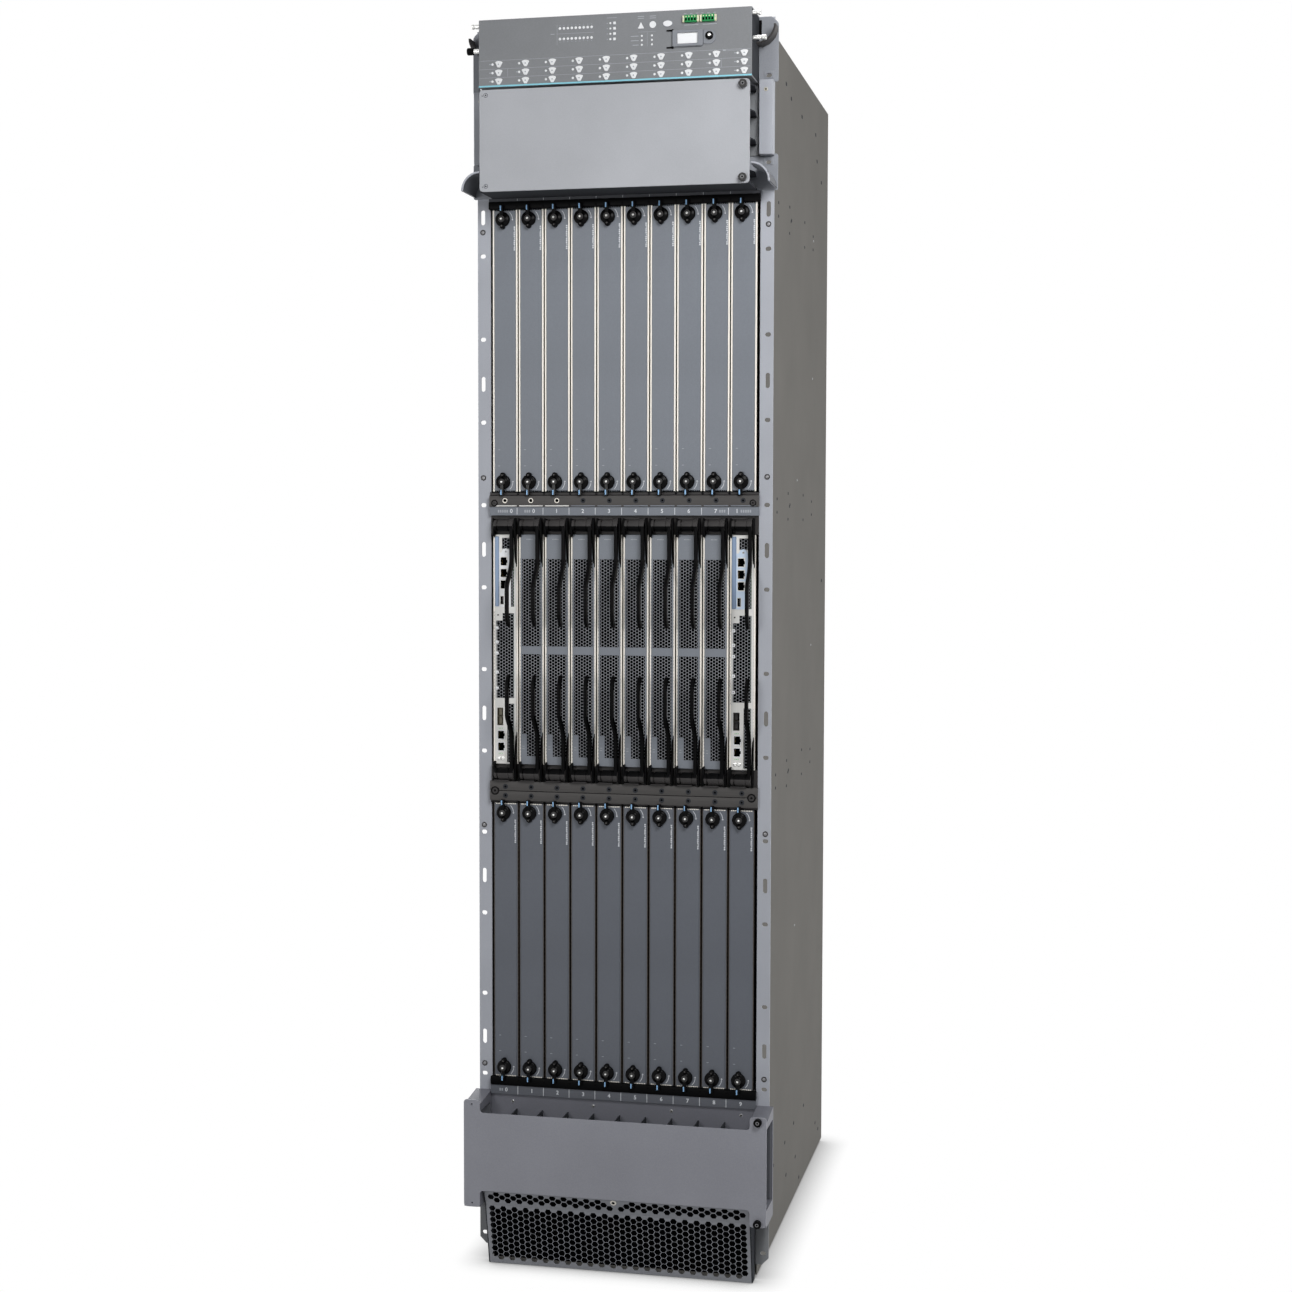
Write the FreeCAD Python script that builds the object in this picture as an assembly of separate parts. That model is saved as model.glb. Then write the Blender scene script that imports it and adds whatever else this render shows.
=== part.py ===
import FreeCAD, Part
import math
import os

V = FreeCAD.Vector

# All sizes are millimetres. X runs to the right, Y to the rear, Z up.
# The origin is on the floor, on the centre line, in the front plane of the rack flanges.

# Slots across the cages
SLOT_COUNT = 10
SLOT_PITCH = 43.3
CARD_GAP = 1.0
SIDE_MARGIN = 3.75
CONTROL_SLOTS = (0, SLOT_COUNT - 1)

# Heights of the zones, stacked from the floor up
INTAKE_HEIGHT = 130.0
LOWER_TRAY_HEIGHT = 147.0
LOWER_STRIP_HEIGHT = 15.0
BOTTOM_RAIL_HEIGHT = 14.0
CARD_BAY_HEIGHT = 452.0
LOWER_LIP_HEIGHT = 4.0
LOWER_BAR_HEIGHT = 32.0
LOWER_HINGE_GAP = 3.5
BOARD_BAY_HEIGHT = 374.0
UPPER_HINGE_GAP = 6.5
MIDDLE_STRIP_HEIGHT = 14.0
UPPER_BAR_HEIGHT = 18.0
UPPER_LIP_HEIGHT = 6.0
TOP_RAIL_HEIGHT = 12.0
TICK_STRIP_HEIGHT = 5.0
UPPER_TRAY_HEIGHT = 158.0
CRAFT_GAP = 4.5
CRAFT_HEIGHT = 104.5
TOP_MARGIN = 1.25

# Body and rack flanges
WALL = 2.0
PLINTH_HEIGHT = 5.0
PLINTH_INSET = 10.0
FLANGE_REACH = 19.05
FLANGE_LAP = 2.5
FLANGE_SHEET = 2.5
FLANGE_FOOT = 23.0
FLANGE_CHAMFER = 11.0
RACK_HOLE_OFFSET = 10.3
RACK_HOLE_DROP = 90.4
RACK_HOLE_PITCH = 133.35
RACK_HOLE_LENGTH = 9.3
RACK_HOLE_WIDTH = 6.8
LONG_SLOT_RISE = 61.7
LONG_SLOT_LENGTH = 24.0
LONG_SLOT_WIDTH = 7.2
SLOT_END_SIDES = 4
FREE_HOLE_COUNT = 2

# Cards, boards and the midplane they plug into
MIDPLANE_SETBACK = 545.0
MIDPLANE_SHEET = 5.0
PLUG_GAP = 0.5
BAY_CLEARANCE = 0.5
PANEL_FRONT = 4.0
STRIP_WIDTH = 3.4
PANEL_STEP = 1.2
FACE_SHEET = 2.0
FACE_RETURN = 12.0
BOARD_SHEET = 3.0
BOARD_INSET = 6.15

# Ejector knobs of the line cards
KNOB_RADIUS = 11.8
KNOB_SIDES = 8
KNOB_INSET = 16.0
KNOB_SHIFT = -3.0
STEM_WIDTH = 6.5
STEM_DEPTH = 5.0
STEM_CLEARANCE = 0.5
STEM_OVER_RAIL = 6.0
STEM_TAIL = 15.0

# Ejector handles of the fabric and control boards
BARREL_CLEARANCE = 0.5
HINGE_RISE = 14.0
BARREL_RADIUS = 9.5
BARREL_SIDES = 10
EAR_INSET = 1.85
EAR_GAP = 0.3
EAR_SHEET = 3.0
EAR_HOLD = 18.0
LEVER_WIDTH = 8.0
LEVER_THICKNESS = 8.0
LEVER_STANDOFF = 7.0
LEVER_SHANK = 62.0
LEVER_BOW = 28.0
LEVER_SLOPE = 30.0
LEVER_GRIP = 56.0
LEVER_FOOT = 16.0
LEVER_FOOT_RETURN = 12.0

# Perforated fields of the fabric boards
FIELD_MARGIN = 2.25
FIELD_DEPTH = 0.8
FIELD_TOP_PLAIN = 40.0
FIELD_BAND = 13.0
FIELD_UPPER_SHARE = 141.0
FIELD_CORNER_WIDTH = 8.0
FIELD_CORNER_HEIGHT = 36.0
FIELD_BOTTOM_PLAIN = 14.0

# Sockets of the control boards
SOCKET_DEPTH = 16.0
SOCKET_BLOCK_WALL = 3.0
JACK_WIDTH = 8.6
JACK_HEIGHT = 11.8
UPPER_JACK_COUNT = 3
UPPER_JACK_DROP = 44.0
UPPER_JACK_PITCH = 18.7
UPPER_JACK_SHIFT = -3.0
USB_WIDTH = 5.2
USB_HEIGHT = 12.6
USB_DROP = 107.0
CAGE_WIDTH = 8.6
CAGE_HEIGHT = 12.6
CAGE_RISE = 70.0
CAGE_PITCH = 14.0
CAGE_COUNT = 2
CAGE_SHIFT = -9.0
LOWER_JACK_COUNT = 2
LOWER_JACK_RISE = 28.6
LOWER_JACK_PITCH = 19.4
LOWER_JACK_SHIFT = -7.0

# Ejector rails
BAR_FRONT = 9.0
STRIP_FRONT = 7.0
LIP_FRONT = 3.0
BAR_LAP = 0.75

# Craft panel
CRAFT_FRONT = 71.6
CRAFT_SHEET = 2.0
CRAFT_END_GAP = 3.25
KEY_ROWS = 3
KEY_WIDTH = 11.0
KEY_HEIGHT = 10.0
KEY_RISE = 1.5
KEY_ROW_PITCH = 14.0
KEY_FIRST_RISE = 8.0
KEY_SHIFT = 12.0
TERMINAL_WIDTH = 26.0
TERMINAL_HEIGHT = 11.0
TERMINAL_DEPTH = 6.0
TERMINAL_SHIFTS = (121.0, 149.0)
TERMINAL_DROP = 21.0
WINDOW_WIDTH = 50.0
WINDOW_HEIGHT = 26.0
WINDOW_DEPTH = 5.0
WINDOW_SHIFT = 119.0
WINDOW_DROP = 57.0

# Upper cable tray with its side wings
TRAY_SHEET = 3.0
WING_REACH = 6.0
WING_CHAMFER = 10.0
WING_RIM = 9.6
BRACKET_RIM = 12.75
GUIDE_RADIUS = 30.0
GUIDE_SHEET = 3.0
GUIDE_SIDE_GAP = 1.0
GUIDE_STEPS = 5
UPPER_GUIDE_DROP = 17.0
UPPER_GUIDE_BACK = 14.0
FIN_SHEET = 2.0
UPPER_FIN_RISE = 34.0
UPPER_FIN_REACH = 58.0

# Lower cable tray
POST_WIDTH = 27.0
POST_REACH = 6.7
POST_TOP_BAR = 19.0
POST_BOTTOM_BAR = 27.0
POST_BACK = 6.0
POST_DROP = 24.0
POST_RISE = 5.0
LOWER_FIN_DROP = 24.0
LOWER_FIN_DEPTH = 52.0
LOWER_FIN_HEIGHT = 40.0
LOWER_FIN_TIP = 10.0

# Covers
COVER_SHEET = 2.0
UPPER_COVER_FRONT = 76.5
UPPER_COVER_END_GAP = 5.25
UPPER_COVER_CORNER = 5.0
LOWER_COVER_FRONT = 68.3
LOWER_COVER_ARCH = 3.0
THUMBSCREW_RADIUS = 6.5
THUMBSCREW_DEPTH = 9.0
THUMBSCREW_SIDES = 10
UPPER_SCREW_INSET = 10.0
UPPER_SCREW_RISE = 8.5
LOWER_SCREW_RISE = 7.0

# Intake grille
GRILLE_SHEET = 2.0
GRILLE_END_GAP = 0.75
GRILLE_FOOT_OUT = 22.0
GRILLE_FOLD_OUT = 45.0
GRILLE_BAND = 26.0
GRILLE_TOP_OUT = 56.0
HEX_PITCH = 27.0
HEX_ACROSS = 22.5
HEX_BORDER = 9.0

# Rear modules
REAR_PLENUM = 38.5
REAR_DEPTH = 190.0
REAR_GAP = 0.6
REAR_FOOT = 26.0
DISTRIBUTION_HEIGHT = 96.0
SUPPLY_HEIGHT = 380.0
SUPPLY_COUNT = 9
FAN_COLUMNS = 2
FANS_PER_TRAY = 3
FAN_RIM = 3.0
FAN_RECESS = 24.0
FAN_SIDES = 12
PULL_OUT = 34.0
PULL_THICKNESS = 8.0
PULL_WIDTH = 14.0
PULL_HEIGHT = 62.0
PULL_END_GAP = 14.0

# Widths worked out from the slots
half_cards = SLOT_COUNT * SLOT_PITCH / 2
half_inner = half_cards + SIDE_MARGIN
half_body = half_inner + WALL
half_flange = half_body + FLANGE_REACH
flange_inner = half_body - FLANGE_LAP
rack_hole_x = half_body + RACK_HOLE_OFFSET
half_bar = flange_inner + BAR_LAP
half_craft = half_inner - CRAFT_END_GAP
half_upper_cover = half_inner - UPPER_COVER_END_GAP
half_wing = half_flange + WING_REACH
half_post = half_flange + POST_REACH
post_inner = half_post - POST_WIDTH
half_grille = half_inner - GRILLE_END_GAP
face_half = (SLOT_PITCH - CARD_GAP) / 2
panel_half = face_half - STRIP_WIDTH
field_half = panel_half - FIELD_MARGIN
barrel_half = face_half - EAR_INSET - EAR_SHEET - EAR_GAP

# Levels worked out from the stack of zones
z_lower_tray = INTAKE_HEIGHT
z_lower_strip = z_lower_tray + LOWER_TRAY_HEIGHT
z_bottom_rail = z_lower_strip + LOWER_STRIP_HEIGHT
z_lower_cards = z_bottom_rail + BOTTOM_RAIL_HEIGHT
z_lower_lip = z_lower_cards + CARD_BAY_HEIGHT
z_lower_bar = z_lower_lip + LOWER_LIP_HEIGHT
z_lower_hinges = z_lower_bar + LOWER_BAR_HEIGHT
z_boards = z_lower_hinges + HINGE_RISE + BARREL_RADIUS + LOWER_HINGE_GAP
z_upper_hinges = z_boards + BOARD_BAY_HEIGHT
z_middle_strip = z_upper_hinges + HINGE_RISE + BARREL_RADIUS + UPPER_HINGE_GAP
z_upper_bar = z_middle_strip + MIDDLE_STRIP_HEIGHT
z_upper_lip = z_upper_bar + UPPER_BAR_HEIGHT
z_upper_cards = z_upper_lip + UPPER_LIP_HEIGHT
z_top_rail = z_upper_cards + CARD_BAY_HEIGHT
z_tick_strip = z_top_rail + TOP_RAIL_HEIGHT
z_upper_tray = z_tick_strip + TICK_STRIP_HEIGHT
z_upper_tray_top = z_upper_tray + UPPER_TRAY_HEIGHT
z_craft = z_upper_tray_top + CRAFT_GAP
z_craft_top = z_craft + CRAFT_HEIGHT
height = z_craft_top + TOP_MARGIN

# Depths worked out from the front plane back
flange_back = FLANGE_SHEET
midplane_back = MIDPLANE_SETBACK + MIDPLANE_SHEET
rear_front = midplane_back + REAR_PLENUM
rear_face = rear_front + REAR_DEPTH
board_end = MIDPLANE_SETBACK - PLUG_GAP
hinge_out = BARREL_RADIUS + BARREL_CLEARANCE


def box(x0, x1, y0, y1, z0, z1):
    """Block between two corners."""
    return Part.makeBox(x1 - x0, y1 - y0, z1 - z0, V(x0, y0, z0))


def prism(points, along):
    """Closed outline of straight sides, extruded along a vector."""
    outline = Part.Face(Part.makePolygon(points + [points[0]]))
    return outline.extrude(along)


def prism_x(outline, x0, x1):
    """Outline of (y, z) points, extruded from x0 to x1."""
    return prism([V(x0, y, z) for y, z in outline], V(x1 - x0, 0, 0))


def prism_y(outline, y0, y1):
    """Outline of (x, z) points, extruded from y0 to y1."""
    return prism([V(x, y0, z) for x, z in outline], V(0, y1 - y0, 0))


def prism_z(outline, z0, z1):
    """Outline of (x, y) points, extruded from z0 to z1."""
    return prism([V(x, y, z0) for x, y in outline], V(0, 0, z1 - z0))


def ring(sides, radius, a, b, turn=0.5):
    """Corners of a regular polygon about (a, b)."""
    steps = [2 * math.pi * (k + turn) / sides for k in range(sides)]
    return [(a + radius * math.cos(t), b + radius * math.sin(t)) for t in steps]


def round_slot(x, z, length_x, length_z, y0, y1):
    """Slot with rounded ends of flat facets that touch the true round, cut along Y."""
    radius = min(length_x, length_z) / 2
    run_x = length_x / 2 - radius
    run_z = length_z / 2 - radius
    corners = ring(2 * SLOT_END_SIDES, radius / math.cos(math.pi / (2 * SLOT_END_SIDES)), 0, 0)
    outline = [(x + a + math.copysign(run_x, a), z + b + math.copysign(run_z, b)) for a, b in corners]
    return prism_y(outline, y0, y1)


def screw_slot(x, z, length_x, length_z, y0, y1):
    """Slot that lies level and has true round ends for a rack screw, cut along Y."""
    radius = length_z / 2
    run = length_x / 2 - radius
    solid = box(x - run, x + run, y0, y1, z - radius, z + radius)
    ends = [Part.makeCylinder(radius, y1 - y0, FreeCAD.Vector(x + a, y0, z), FreeCAD.Vector(0, 1, 0))
            for a in (-run, run)]
    return solid.fuse(ends).removeSplitter()


def slot_x(index):
    """Centre line of a slot."""
    return (index - (SLOT_COUNT - 1) / 2) * SLOT_PITCH


def rack_hole_levels():
    """Heights of the oval rack holes on each flange, from the top down."""
    top = z_craft_top - RACK_HOLE_DROP
    room = top - FLANGE_FOOT - RACK_HOLE_WIDTH
    return [top - k * RACK_HOLE_PITCH for k in range(int(room // RACK_HOLE_PITCH) + 1)]


def rack_hole_tools(side, y0, y1):
    """Cutters for the oval rack holes of one flange; the screws leave a few free at each end."""
    levels = rack_hole_levels()
    screws = (levels[FREE_HOLE_COUNT], levels[-1 - FREE_HOLE_COUNT])
    tools = []
    for z in levels:
        cutter = screw_slot if z in screws else round_slot
        tools.append(cutter(side * rack_hole_x, z, RACK_HOLE_LENGTH, RACK_HOLE_WIDTH, y0, y1))
    return tools


def rack_flange(side):
    """Flat rack ear with its oval holes and long slots, cut back at the foot."""
    outline = [(side * flange_inner, FLANGE_FOOT),
               (side * (half_flange - FLANGE_CHAMFER), FLANGE_FOOT),
               (side * half_flange, FLANGE_FOOT + FLANGE_CHAMFER),
               (side * half_flange, z_craft_top),
               (side * flange_inner, z_craft_top)]
    flange = prism_y(outline, 0, FLANGE_SHEET)
    tools = rack_hole_tools(side, -FLANGE_SHEET, 2 * FLANGE_SHEET)
    for z in rack_hole_levels()[2:-1:2]:
        tools.append(round_slot(side * rack_hole_x, z + LONG_SLOT_RISE, LONG_SLOT_WIDTH, LONG_SLOT_LENGTH,
                                -FLANGE_SHEET, 2 * FLANGE_SHEET))
    return flange.cut(tools)


def chassis_frame():
    """Side walls, flanges, plinth, floor, roof, front closure and cage shelves."""
    solids = []
    for side in (-1, 1):
        walls = sorted((side * half_inner, side * half_body))
        solids.append(box(walls[0], walls[1], flange_back, rear_face, PLINTH_HEIGHT, height))
        solids.append(rack_flange(side))
    half_plinth = half_body - PLINTH_INSET
    solids.append(box(-half_plinth, half_plinth, -GRILLE_FOOT_OUT + GRILLE_SHEET, rear_face - PLINTH_INSET,
                      0, PLINTH_HEIGHT))
    solids.append(box(-half_inner, half_inner, flange_back, rear_face, PLINTH_HEIGHT, PLINTH_HEIGHT + WALL))
    solids.append(box(-half_inner, half_inner, flange_back, rear_face, height - WALL, height))
    solids.append(box(-half_inner, half_inner, flange_back, flange_back + WALL,
                      z_tick_strip, height - WALL))
    floors = (z_lower_cards - WALL, z_boards - WALL, z_upper_cards - WALL)
    roofs = (z_lower_lip, z_upper_hinges, z_top_rail)
    for z in floors + roofs:
        solids.append(box(-half_inner, half_inner, flange_back, MIDPLANE_SETBACK, z, z + WALL))
    return solids


def midplane():
    """Upright wiring board that every card plugs into."""
    return [box(-half_inner, half_inner, MIDPLANE_SETBACK, midplane_back,
                z_lower_cards - WALL, z_top_rail + WALL)]


def ejector_rails():
    """Black bars and number strips across the cages, one extruded section for each group."""
    bottom = [(flange_back, z_lower_cards), (-BAR_FRONT, z_lower_cards), (-BAR_FRONT, z_bottom_rail),
              (-STRIP_FRONT, z_bottom_rail), (-STRIP_FRONT, z_lower_strip), (0, z_lower_strip),
              (0, z_lower_cards - WALL), (flange_back, z_lower_cards - WALL)]
    lower = [(flange_back, z_lower_lip), (-LIP_FRONT, z_lower_lip), (-LIP_FRONT, z_lower_bar),
             (-BAR_FRONT, z_lower_bar), (-BAR_FRONT, z_lower_hinges), (0, z_lower_hinges),
             (0, z_boards), (flange_back, z_boards)]
    upper = [(flange_back, z_upper_hinges), (0, z_upper_hinges), (0, z_middle_strip),
             (-STRIP_FRONT, z_middle_strip), (-STRIP_FRONT, z_upper_bar), (-BAR_FRONT, z_upper_bar),
             (-BAR_FRONT, z_upper_lip), (-LIP_FRONT, z_upper_lip), (-LIP_FRONT, z_upper_cards),
             (flange_back, z_upper_cards)]
    top = [(flange_back, z_top_rail), (-BAR_FRONT, z_top_rail), (-BAR_FRONT, z_tick_strip),
           (-STRIP_FRONT, z_tick_strip), (-STRIP_FRONT, z_upper_tray), (0, z_upper_tray),
           (0, z_top_rail + WALL), (flange_back, z_top_rail + WALL)]
    bars = []
    for outline in (bottom, lower, upper, top):
        tongue = prism_x(outline, -flange_inner, flange_inner)
        front = [(y, z) for y, z in outline if y < 0]
        lap = [(0, front[0][1])] + front + [(0, front[-1][1])]
        bars.append(tongue.fuse(prism_x(lap, -half_bar, half_bar)).removeSplitter())
    return bars


def face_outline(centre):
    """Section of a faceplate: a raised panel between two contact strips, with returns behind."""
    strip = PANEL_FRONT - PANEL_STEP
    back = FACE_RETURN - strip
    inner = FACE_SHEET - strip
    outline = [(-face_half, back), (-face_half, -strip), (-panel_half, -strip),
               (-panel_half, -PANEL_FRONT), (panel_half, -PANEL_FRONT),
               (panel_half, -strip), (face_half, -strip), (face_half, back),
               (face_half - FACE_SHEET, back), (face_half - FACE_SHEET, inner),
               (FACE_SHEET - face_half, inner), (FACE_SHEET - face_half, back)]
    return [(centre + x, y) for x, y in outline]


def faceplate(centre, z0, z1):
    """Faceplate of a card or board between two bay ends."""
    return prism_z(face_outline(centre), z0 + BAY_CLEARANCE, z1 - BAY_CLEARANCE)


def circuit_board(centre, z0, z1):
    """Carrier sheet and circuit board behind a faceplate."""
    front = FACE_SHEET - PANEL_FRONT + PANEL_STEP
    right = centre + face_half - BOARD_INSET
    return box(right - BOARD_SHEET, right, front, board_end, z0 + BAY_CLEARANCE, z1 - BAY_CLEARANCE)


def knob(centre, z, towards):
    """Round ejector knob, and the stem across its front that points to its rail."""
    x = centre + KNOB_SHIFT
    ends = sorted((z - towards * STEM_TAIL, z + towards * (KNOB_INSET + STEM_OVER_RAIL)))
    stem_back = -BAR_FRONT - STEM_CLEARANCE
    disc = prism_y(ring(KNOB_SIDES, KNOB_RADIUS, x, z), stem_back, -PANEL_FRONT)
    stem = box(x - STEM_WIDTH / 2, x + STEM_WIDTH / 2, stem_back - STEM_DEPTH, stem_back, ends[0], ends[1])
    return disc.fuse(stem)


def line_card(index, z0):
    """Line card: faceplate, circuit board and an ejector knob at each end."""
    centre = slot_x(index)
    z1 = z0 + CARD_BAY_HEIGHT
    return [faceplate(centre, z0, z1), circuit_board(centre, z0, z1),
            knob(centre, z1 - KNOB_INSET, 1), knob(centre, z0 + KNOB_INSET, -1)]


def hinge_ears(centre, z_end, hinge_z):
    """Two ears on a faceplate that hold the barrel of an ejector handle."""
    towards = 1 if hinge_z > z_end else -1
    root = -PANEL_FRONT + FACE_SHEET
    foot = z_end - towards * EAR_HOLD
    tip = hinge_z + towards * EAR_SHEET
    outline = [(root, foot), (-hinge_out - EAR_SHEET, z_end - towards * EAR_SHEET),
               (-hinge_out - EAR_SHEET, tip), (-hinge_out + EAR_SHEET, tip), (root, z_end)]
    inner = barrel_half + EAR_GAP
    return [prism_x(outline, centre + side * inner, centre + side * (inner + EAR_SHEET)) for side in (-1, 1)]


def board_face(index):
    """Faceplate of the middle cage, with hinge ears at both ends."""
    centre = slot_x(index)
    plate = faceplate(centre, z_boards, z_upper_hinges)
    ears = hinge_ears(centre, z_upper_hinges - BAY_CLEARANCE, z_upper_hinges + HINGE_RISE)
    ears += hinge_ears(centre, z_boards + BAY_CLEARANCE, z_boards - HINGE_RISE)
    return plate.fuse(ears).removeSplitter()


def fabric_board(index):
    """Switch fabric board: two sunk perforated fields in a plain faceplate."""
    centre = slot_x(index)
    left = centre - field_half
    right = centre + field_half
    upper_top = z_upper_hinges - FIELD_TOP_PLAIN
    upper_low = upper_top - FIELD_UPPER_SHARE
    lower_top = upper_low - FIELD_BAND
    lower_low = z_boards + FIELD_BOTTOM_PLAIN
    front = -PANEL_FRONT
    upper_field = box(left, right, front, front + FIELD_DEPTH, upper_low, upper_top)
    lower_outline = [(left, lower_top), (left, lower_low + FIELD_CORNER_HEIGHT),
                     (left + FIELD_CORNER_WIDTH, lower_low + FIELD_CORNER_HEIGHT),
                     (left + FIELD_CORNER_WIDTH, lower_low), (right, lower_low), (right, lower_top)]
    lower_field = prism_y(lower_outline, front, front + FIELD_DEPTH)
    face = board_face(index).cut([upper_field, lower_field])
    return [face, circuit_board(centre, z_boards, z_upper_hinges)]


def socket_layout():
    """Sockets of a control board: (shift, level, width, height) for each."""
    sockets = []
    for k in range(UPPER_JACK_COUNT):
        level = z_upper_hinges - UPPER_JACK_DROP - k * UPPER_JACK_PITCH
        sockets.append((UPPER_JACK_SHIFT, level, JACK_WIDTH, JACK_HEIGHT))
    sockets.append((UPPER_JACK_SHIFT, z_upper_hinges - USB_DROP, USB_WIDTH, USB_HEIGHT))
    for k in range(CAGE_COUNT):
        sockets.append((CAGE_SHIFT, z_boards + CAGE_RISE + k * CAGE_PITCH, CAGE_WIDTH, CAGE_HEIGHT))
    for k in range(LOWER_JACK_COUNT):
        level = z_boards + LOWER_JACK_RISE + k * LOWER_JACK_PITCH
        sockets.append((LOWER_JACK_SHIFT, level, JACK_WIDTH, JACK_HEIGHT))
    return sockets


def control_board(index):
    """Control board: faceplate with real network and serial sockets."""
    centre = slot_x(index)
    inner = FACE_SHEET - PANEL_FRONT + PANEL_STEP
    blocks = []
    cuts = []
    for shift, level, width, tall in socket_layout():
        x = centre + shift
        wall = SOCKET_BLOCK_WALL
        bottom = SOCKET_DEPTH - PANEL_FRONT
        blocks.append(box(x - width / 2 - wall, x + width / 2 + wall, inner, bottom + wall,
                          level - tall / 2 - wall, level + tall / 2 + wall))
        cuts.append(box(x - width / 2, x + width / 2, -PANEL_FRONT - 1, bottom,
                        level - tall / 2, level + tall / 2))
    face = board_face(index).fuse(blocks).removeSplitter().cut(cuts)
    return [face, circuit_board(centre, z_boards, z_upper_hinges)]


def handle(index, hinge_z, towards):
    """Ejector handle: hinge barrel, shank, outward bow, grip and returned foot."""
    centre = slot_x(index)
    barrel = prism_x(ring(BARREL_SIDES, BARREL_RADIUS, -hinge_out, hinge_z),
                     centre - barrel_half, centre + barrel_half)
    inner = PANEL_FRONT + LEVER_STANDOFF
    outer = inner + LEVER_THICKNESS
    bowed = outer + LEVER_BOW
    slope_start = LEVER_SHANK
    slope_end = slope_start + LEVER_SLOPE
    grip_end = slope_end + LEVER_GRIP
    foot_end = grip_end + LEVER_FOOT
    outline = [(outer, 0), (outer, slope_start), (bowed, slope_end), (bowed, grip_end),
               (bowed - LEVER_FOOT_RETURN, foot_end),
               (bowed - LEVER_FOOT_RETURN - LEVER_THICKNESS, foot_end - LEVER_THICKNESS / 2),
               (bowed - LEVER_THICKNESS, grip_end - LEVER_THICKNESS / 2),
               (bowed - LEVER_THICKNESS, slope_end + LEVER_THICKNESS / 2),
               (inner, slope_start + LEVER_THICKNESS / 2), (inner, 0)]
    points = [(-out, hinge_z + towards * run) for out, run in outline]
    lever = prism_x(points, centre + barrel_half - LEVER_WIDTH, centre + barrel_half)
    return [barrel.fuse(lever).removeSplitter()]


def craft_key(x, z):
    """Fan-shaped key, wide at the top."""
    wide = KEY_WIDTH / 2
    tall = KEY_HEIGHT / 2
    outline = [(x - wide, z + 0.3 * tall), (x - 0.3 * wide, z - tall), (x + 0.3 * wide, z - tall),
               (x + wide, z + 0.3 * tall), (x, z + tall)]
    return prism_y(outline, -CRAFT_FRONT - KEY_RISE, -CRAFT_FRONT)


def craft_panel():
    """Display and key panel: a housing of sheet with keys, terminal blocks and a display window."""
    section = [(-TRAY_SHEET, z_craft_top), (-CRAFT_FRONT, z_craft_top), (-CRAFT_FRONT, z_craft),
               (-TRAY_SHEET, z_craft), (-TRAY_SHEET, z_craft + CRAFT_SHEET),
               (CRAFT_SHEET - CRAFT_FRONT, z_craft + CRAFT_SHEET),
               (CRAFT_SHEET - CRAFT_FRONT, z_craft_top - CRAFT_SHEET),
               (-TRAY_SHEET, z_craft_top - CRAFT_SHEET)]
    channel = prism_x(section, -half_craft, half_craft)
    cheeks = [box(x, x + CRAFT_SHEET, -CRAFT_FRONT, -TRAY_SHEET, z_craft, z_craft_top)
              for x in (-half_craft, half_craft - CRAFT_SHEET)]
    solids = [channel.fuse(cheeks).removeSplitter()]
    for row in range(KEY_ROWS):
        for column in range(SLOT_COUNT):
            z = z_craft + KEY_FIRST_RISE + row * KEY_ROW_PITCH
            solids.append(craft_key(slot_x(column) + KEY_SHIFT, z))
    for shift in TERMINAL_SHIFTS:
        solids.append(box(shift - TERMINAL_WIDTH / 2, shift + TERMINAL_WIDTH / 2,
                          -CRAFT_FRONT - TERMINAL_DEPTH, -CRAFT_FRONT,
                          z_craft_top - TERMINAL_DROP, z_craft_top - TERMINAL_DROP + TERMINAL_HEIGHT))
    solids.append(box(WINDOW_SHIFT - WINDOW_WIDTH / 2, WINDOW_SHIFT + WINDOW_WIDTH / 2,
                      -CRAFT_FRONT - WINDOW_DEPTH, -CRAFT_FRONT,
                      z_craft_top - WINDOW_DROP, z_craft_top - WINDOW_DROP + WINDOW_HEIGHT))
    return solids


def bend_guide(side, hub_x, hub_z, turn, front):
    """Quarter-round guide that stands out from a wing of the upper tray, turning down (-1) or up (+1)."""
    steps = [math.pi / 2 * k / GUIDE_STEPS for k in range(GUIDE_STEPS + 1)]
    inner = GUIDE_RADIUS - GUIDE_SHEET
    arc = [(GUIDE_RADIUS * math.sin(t), GUIDE_RADIUS * math.cos(t)) for t in steps]
    arc += [(inner * math.sin(t), inner * math.cos(t)) for t in reversed(steps)]
    outline = [(side * (hub_x + a), hub_z - turn * b) for a, b in arc]
    return prism_y(outline, front, -TRAY_SHEET)


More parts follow.
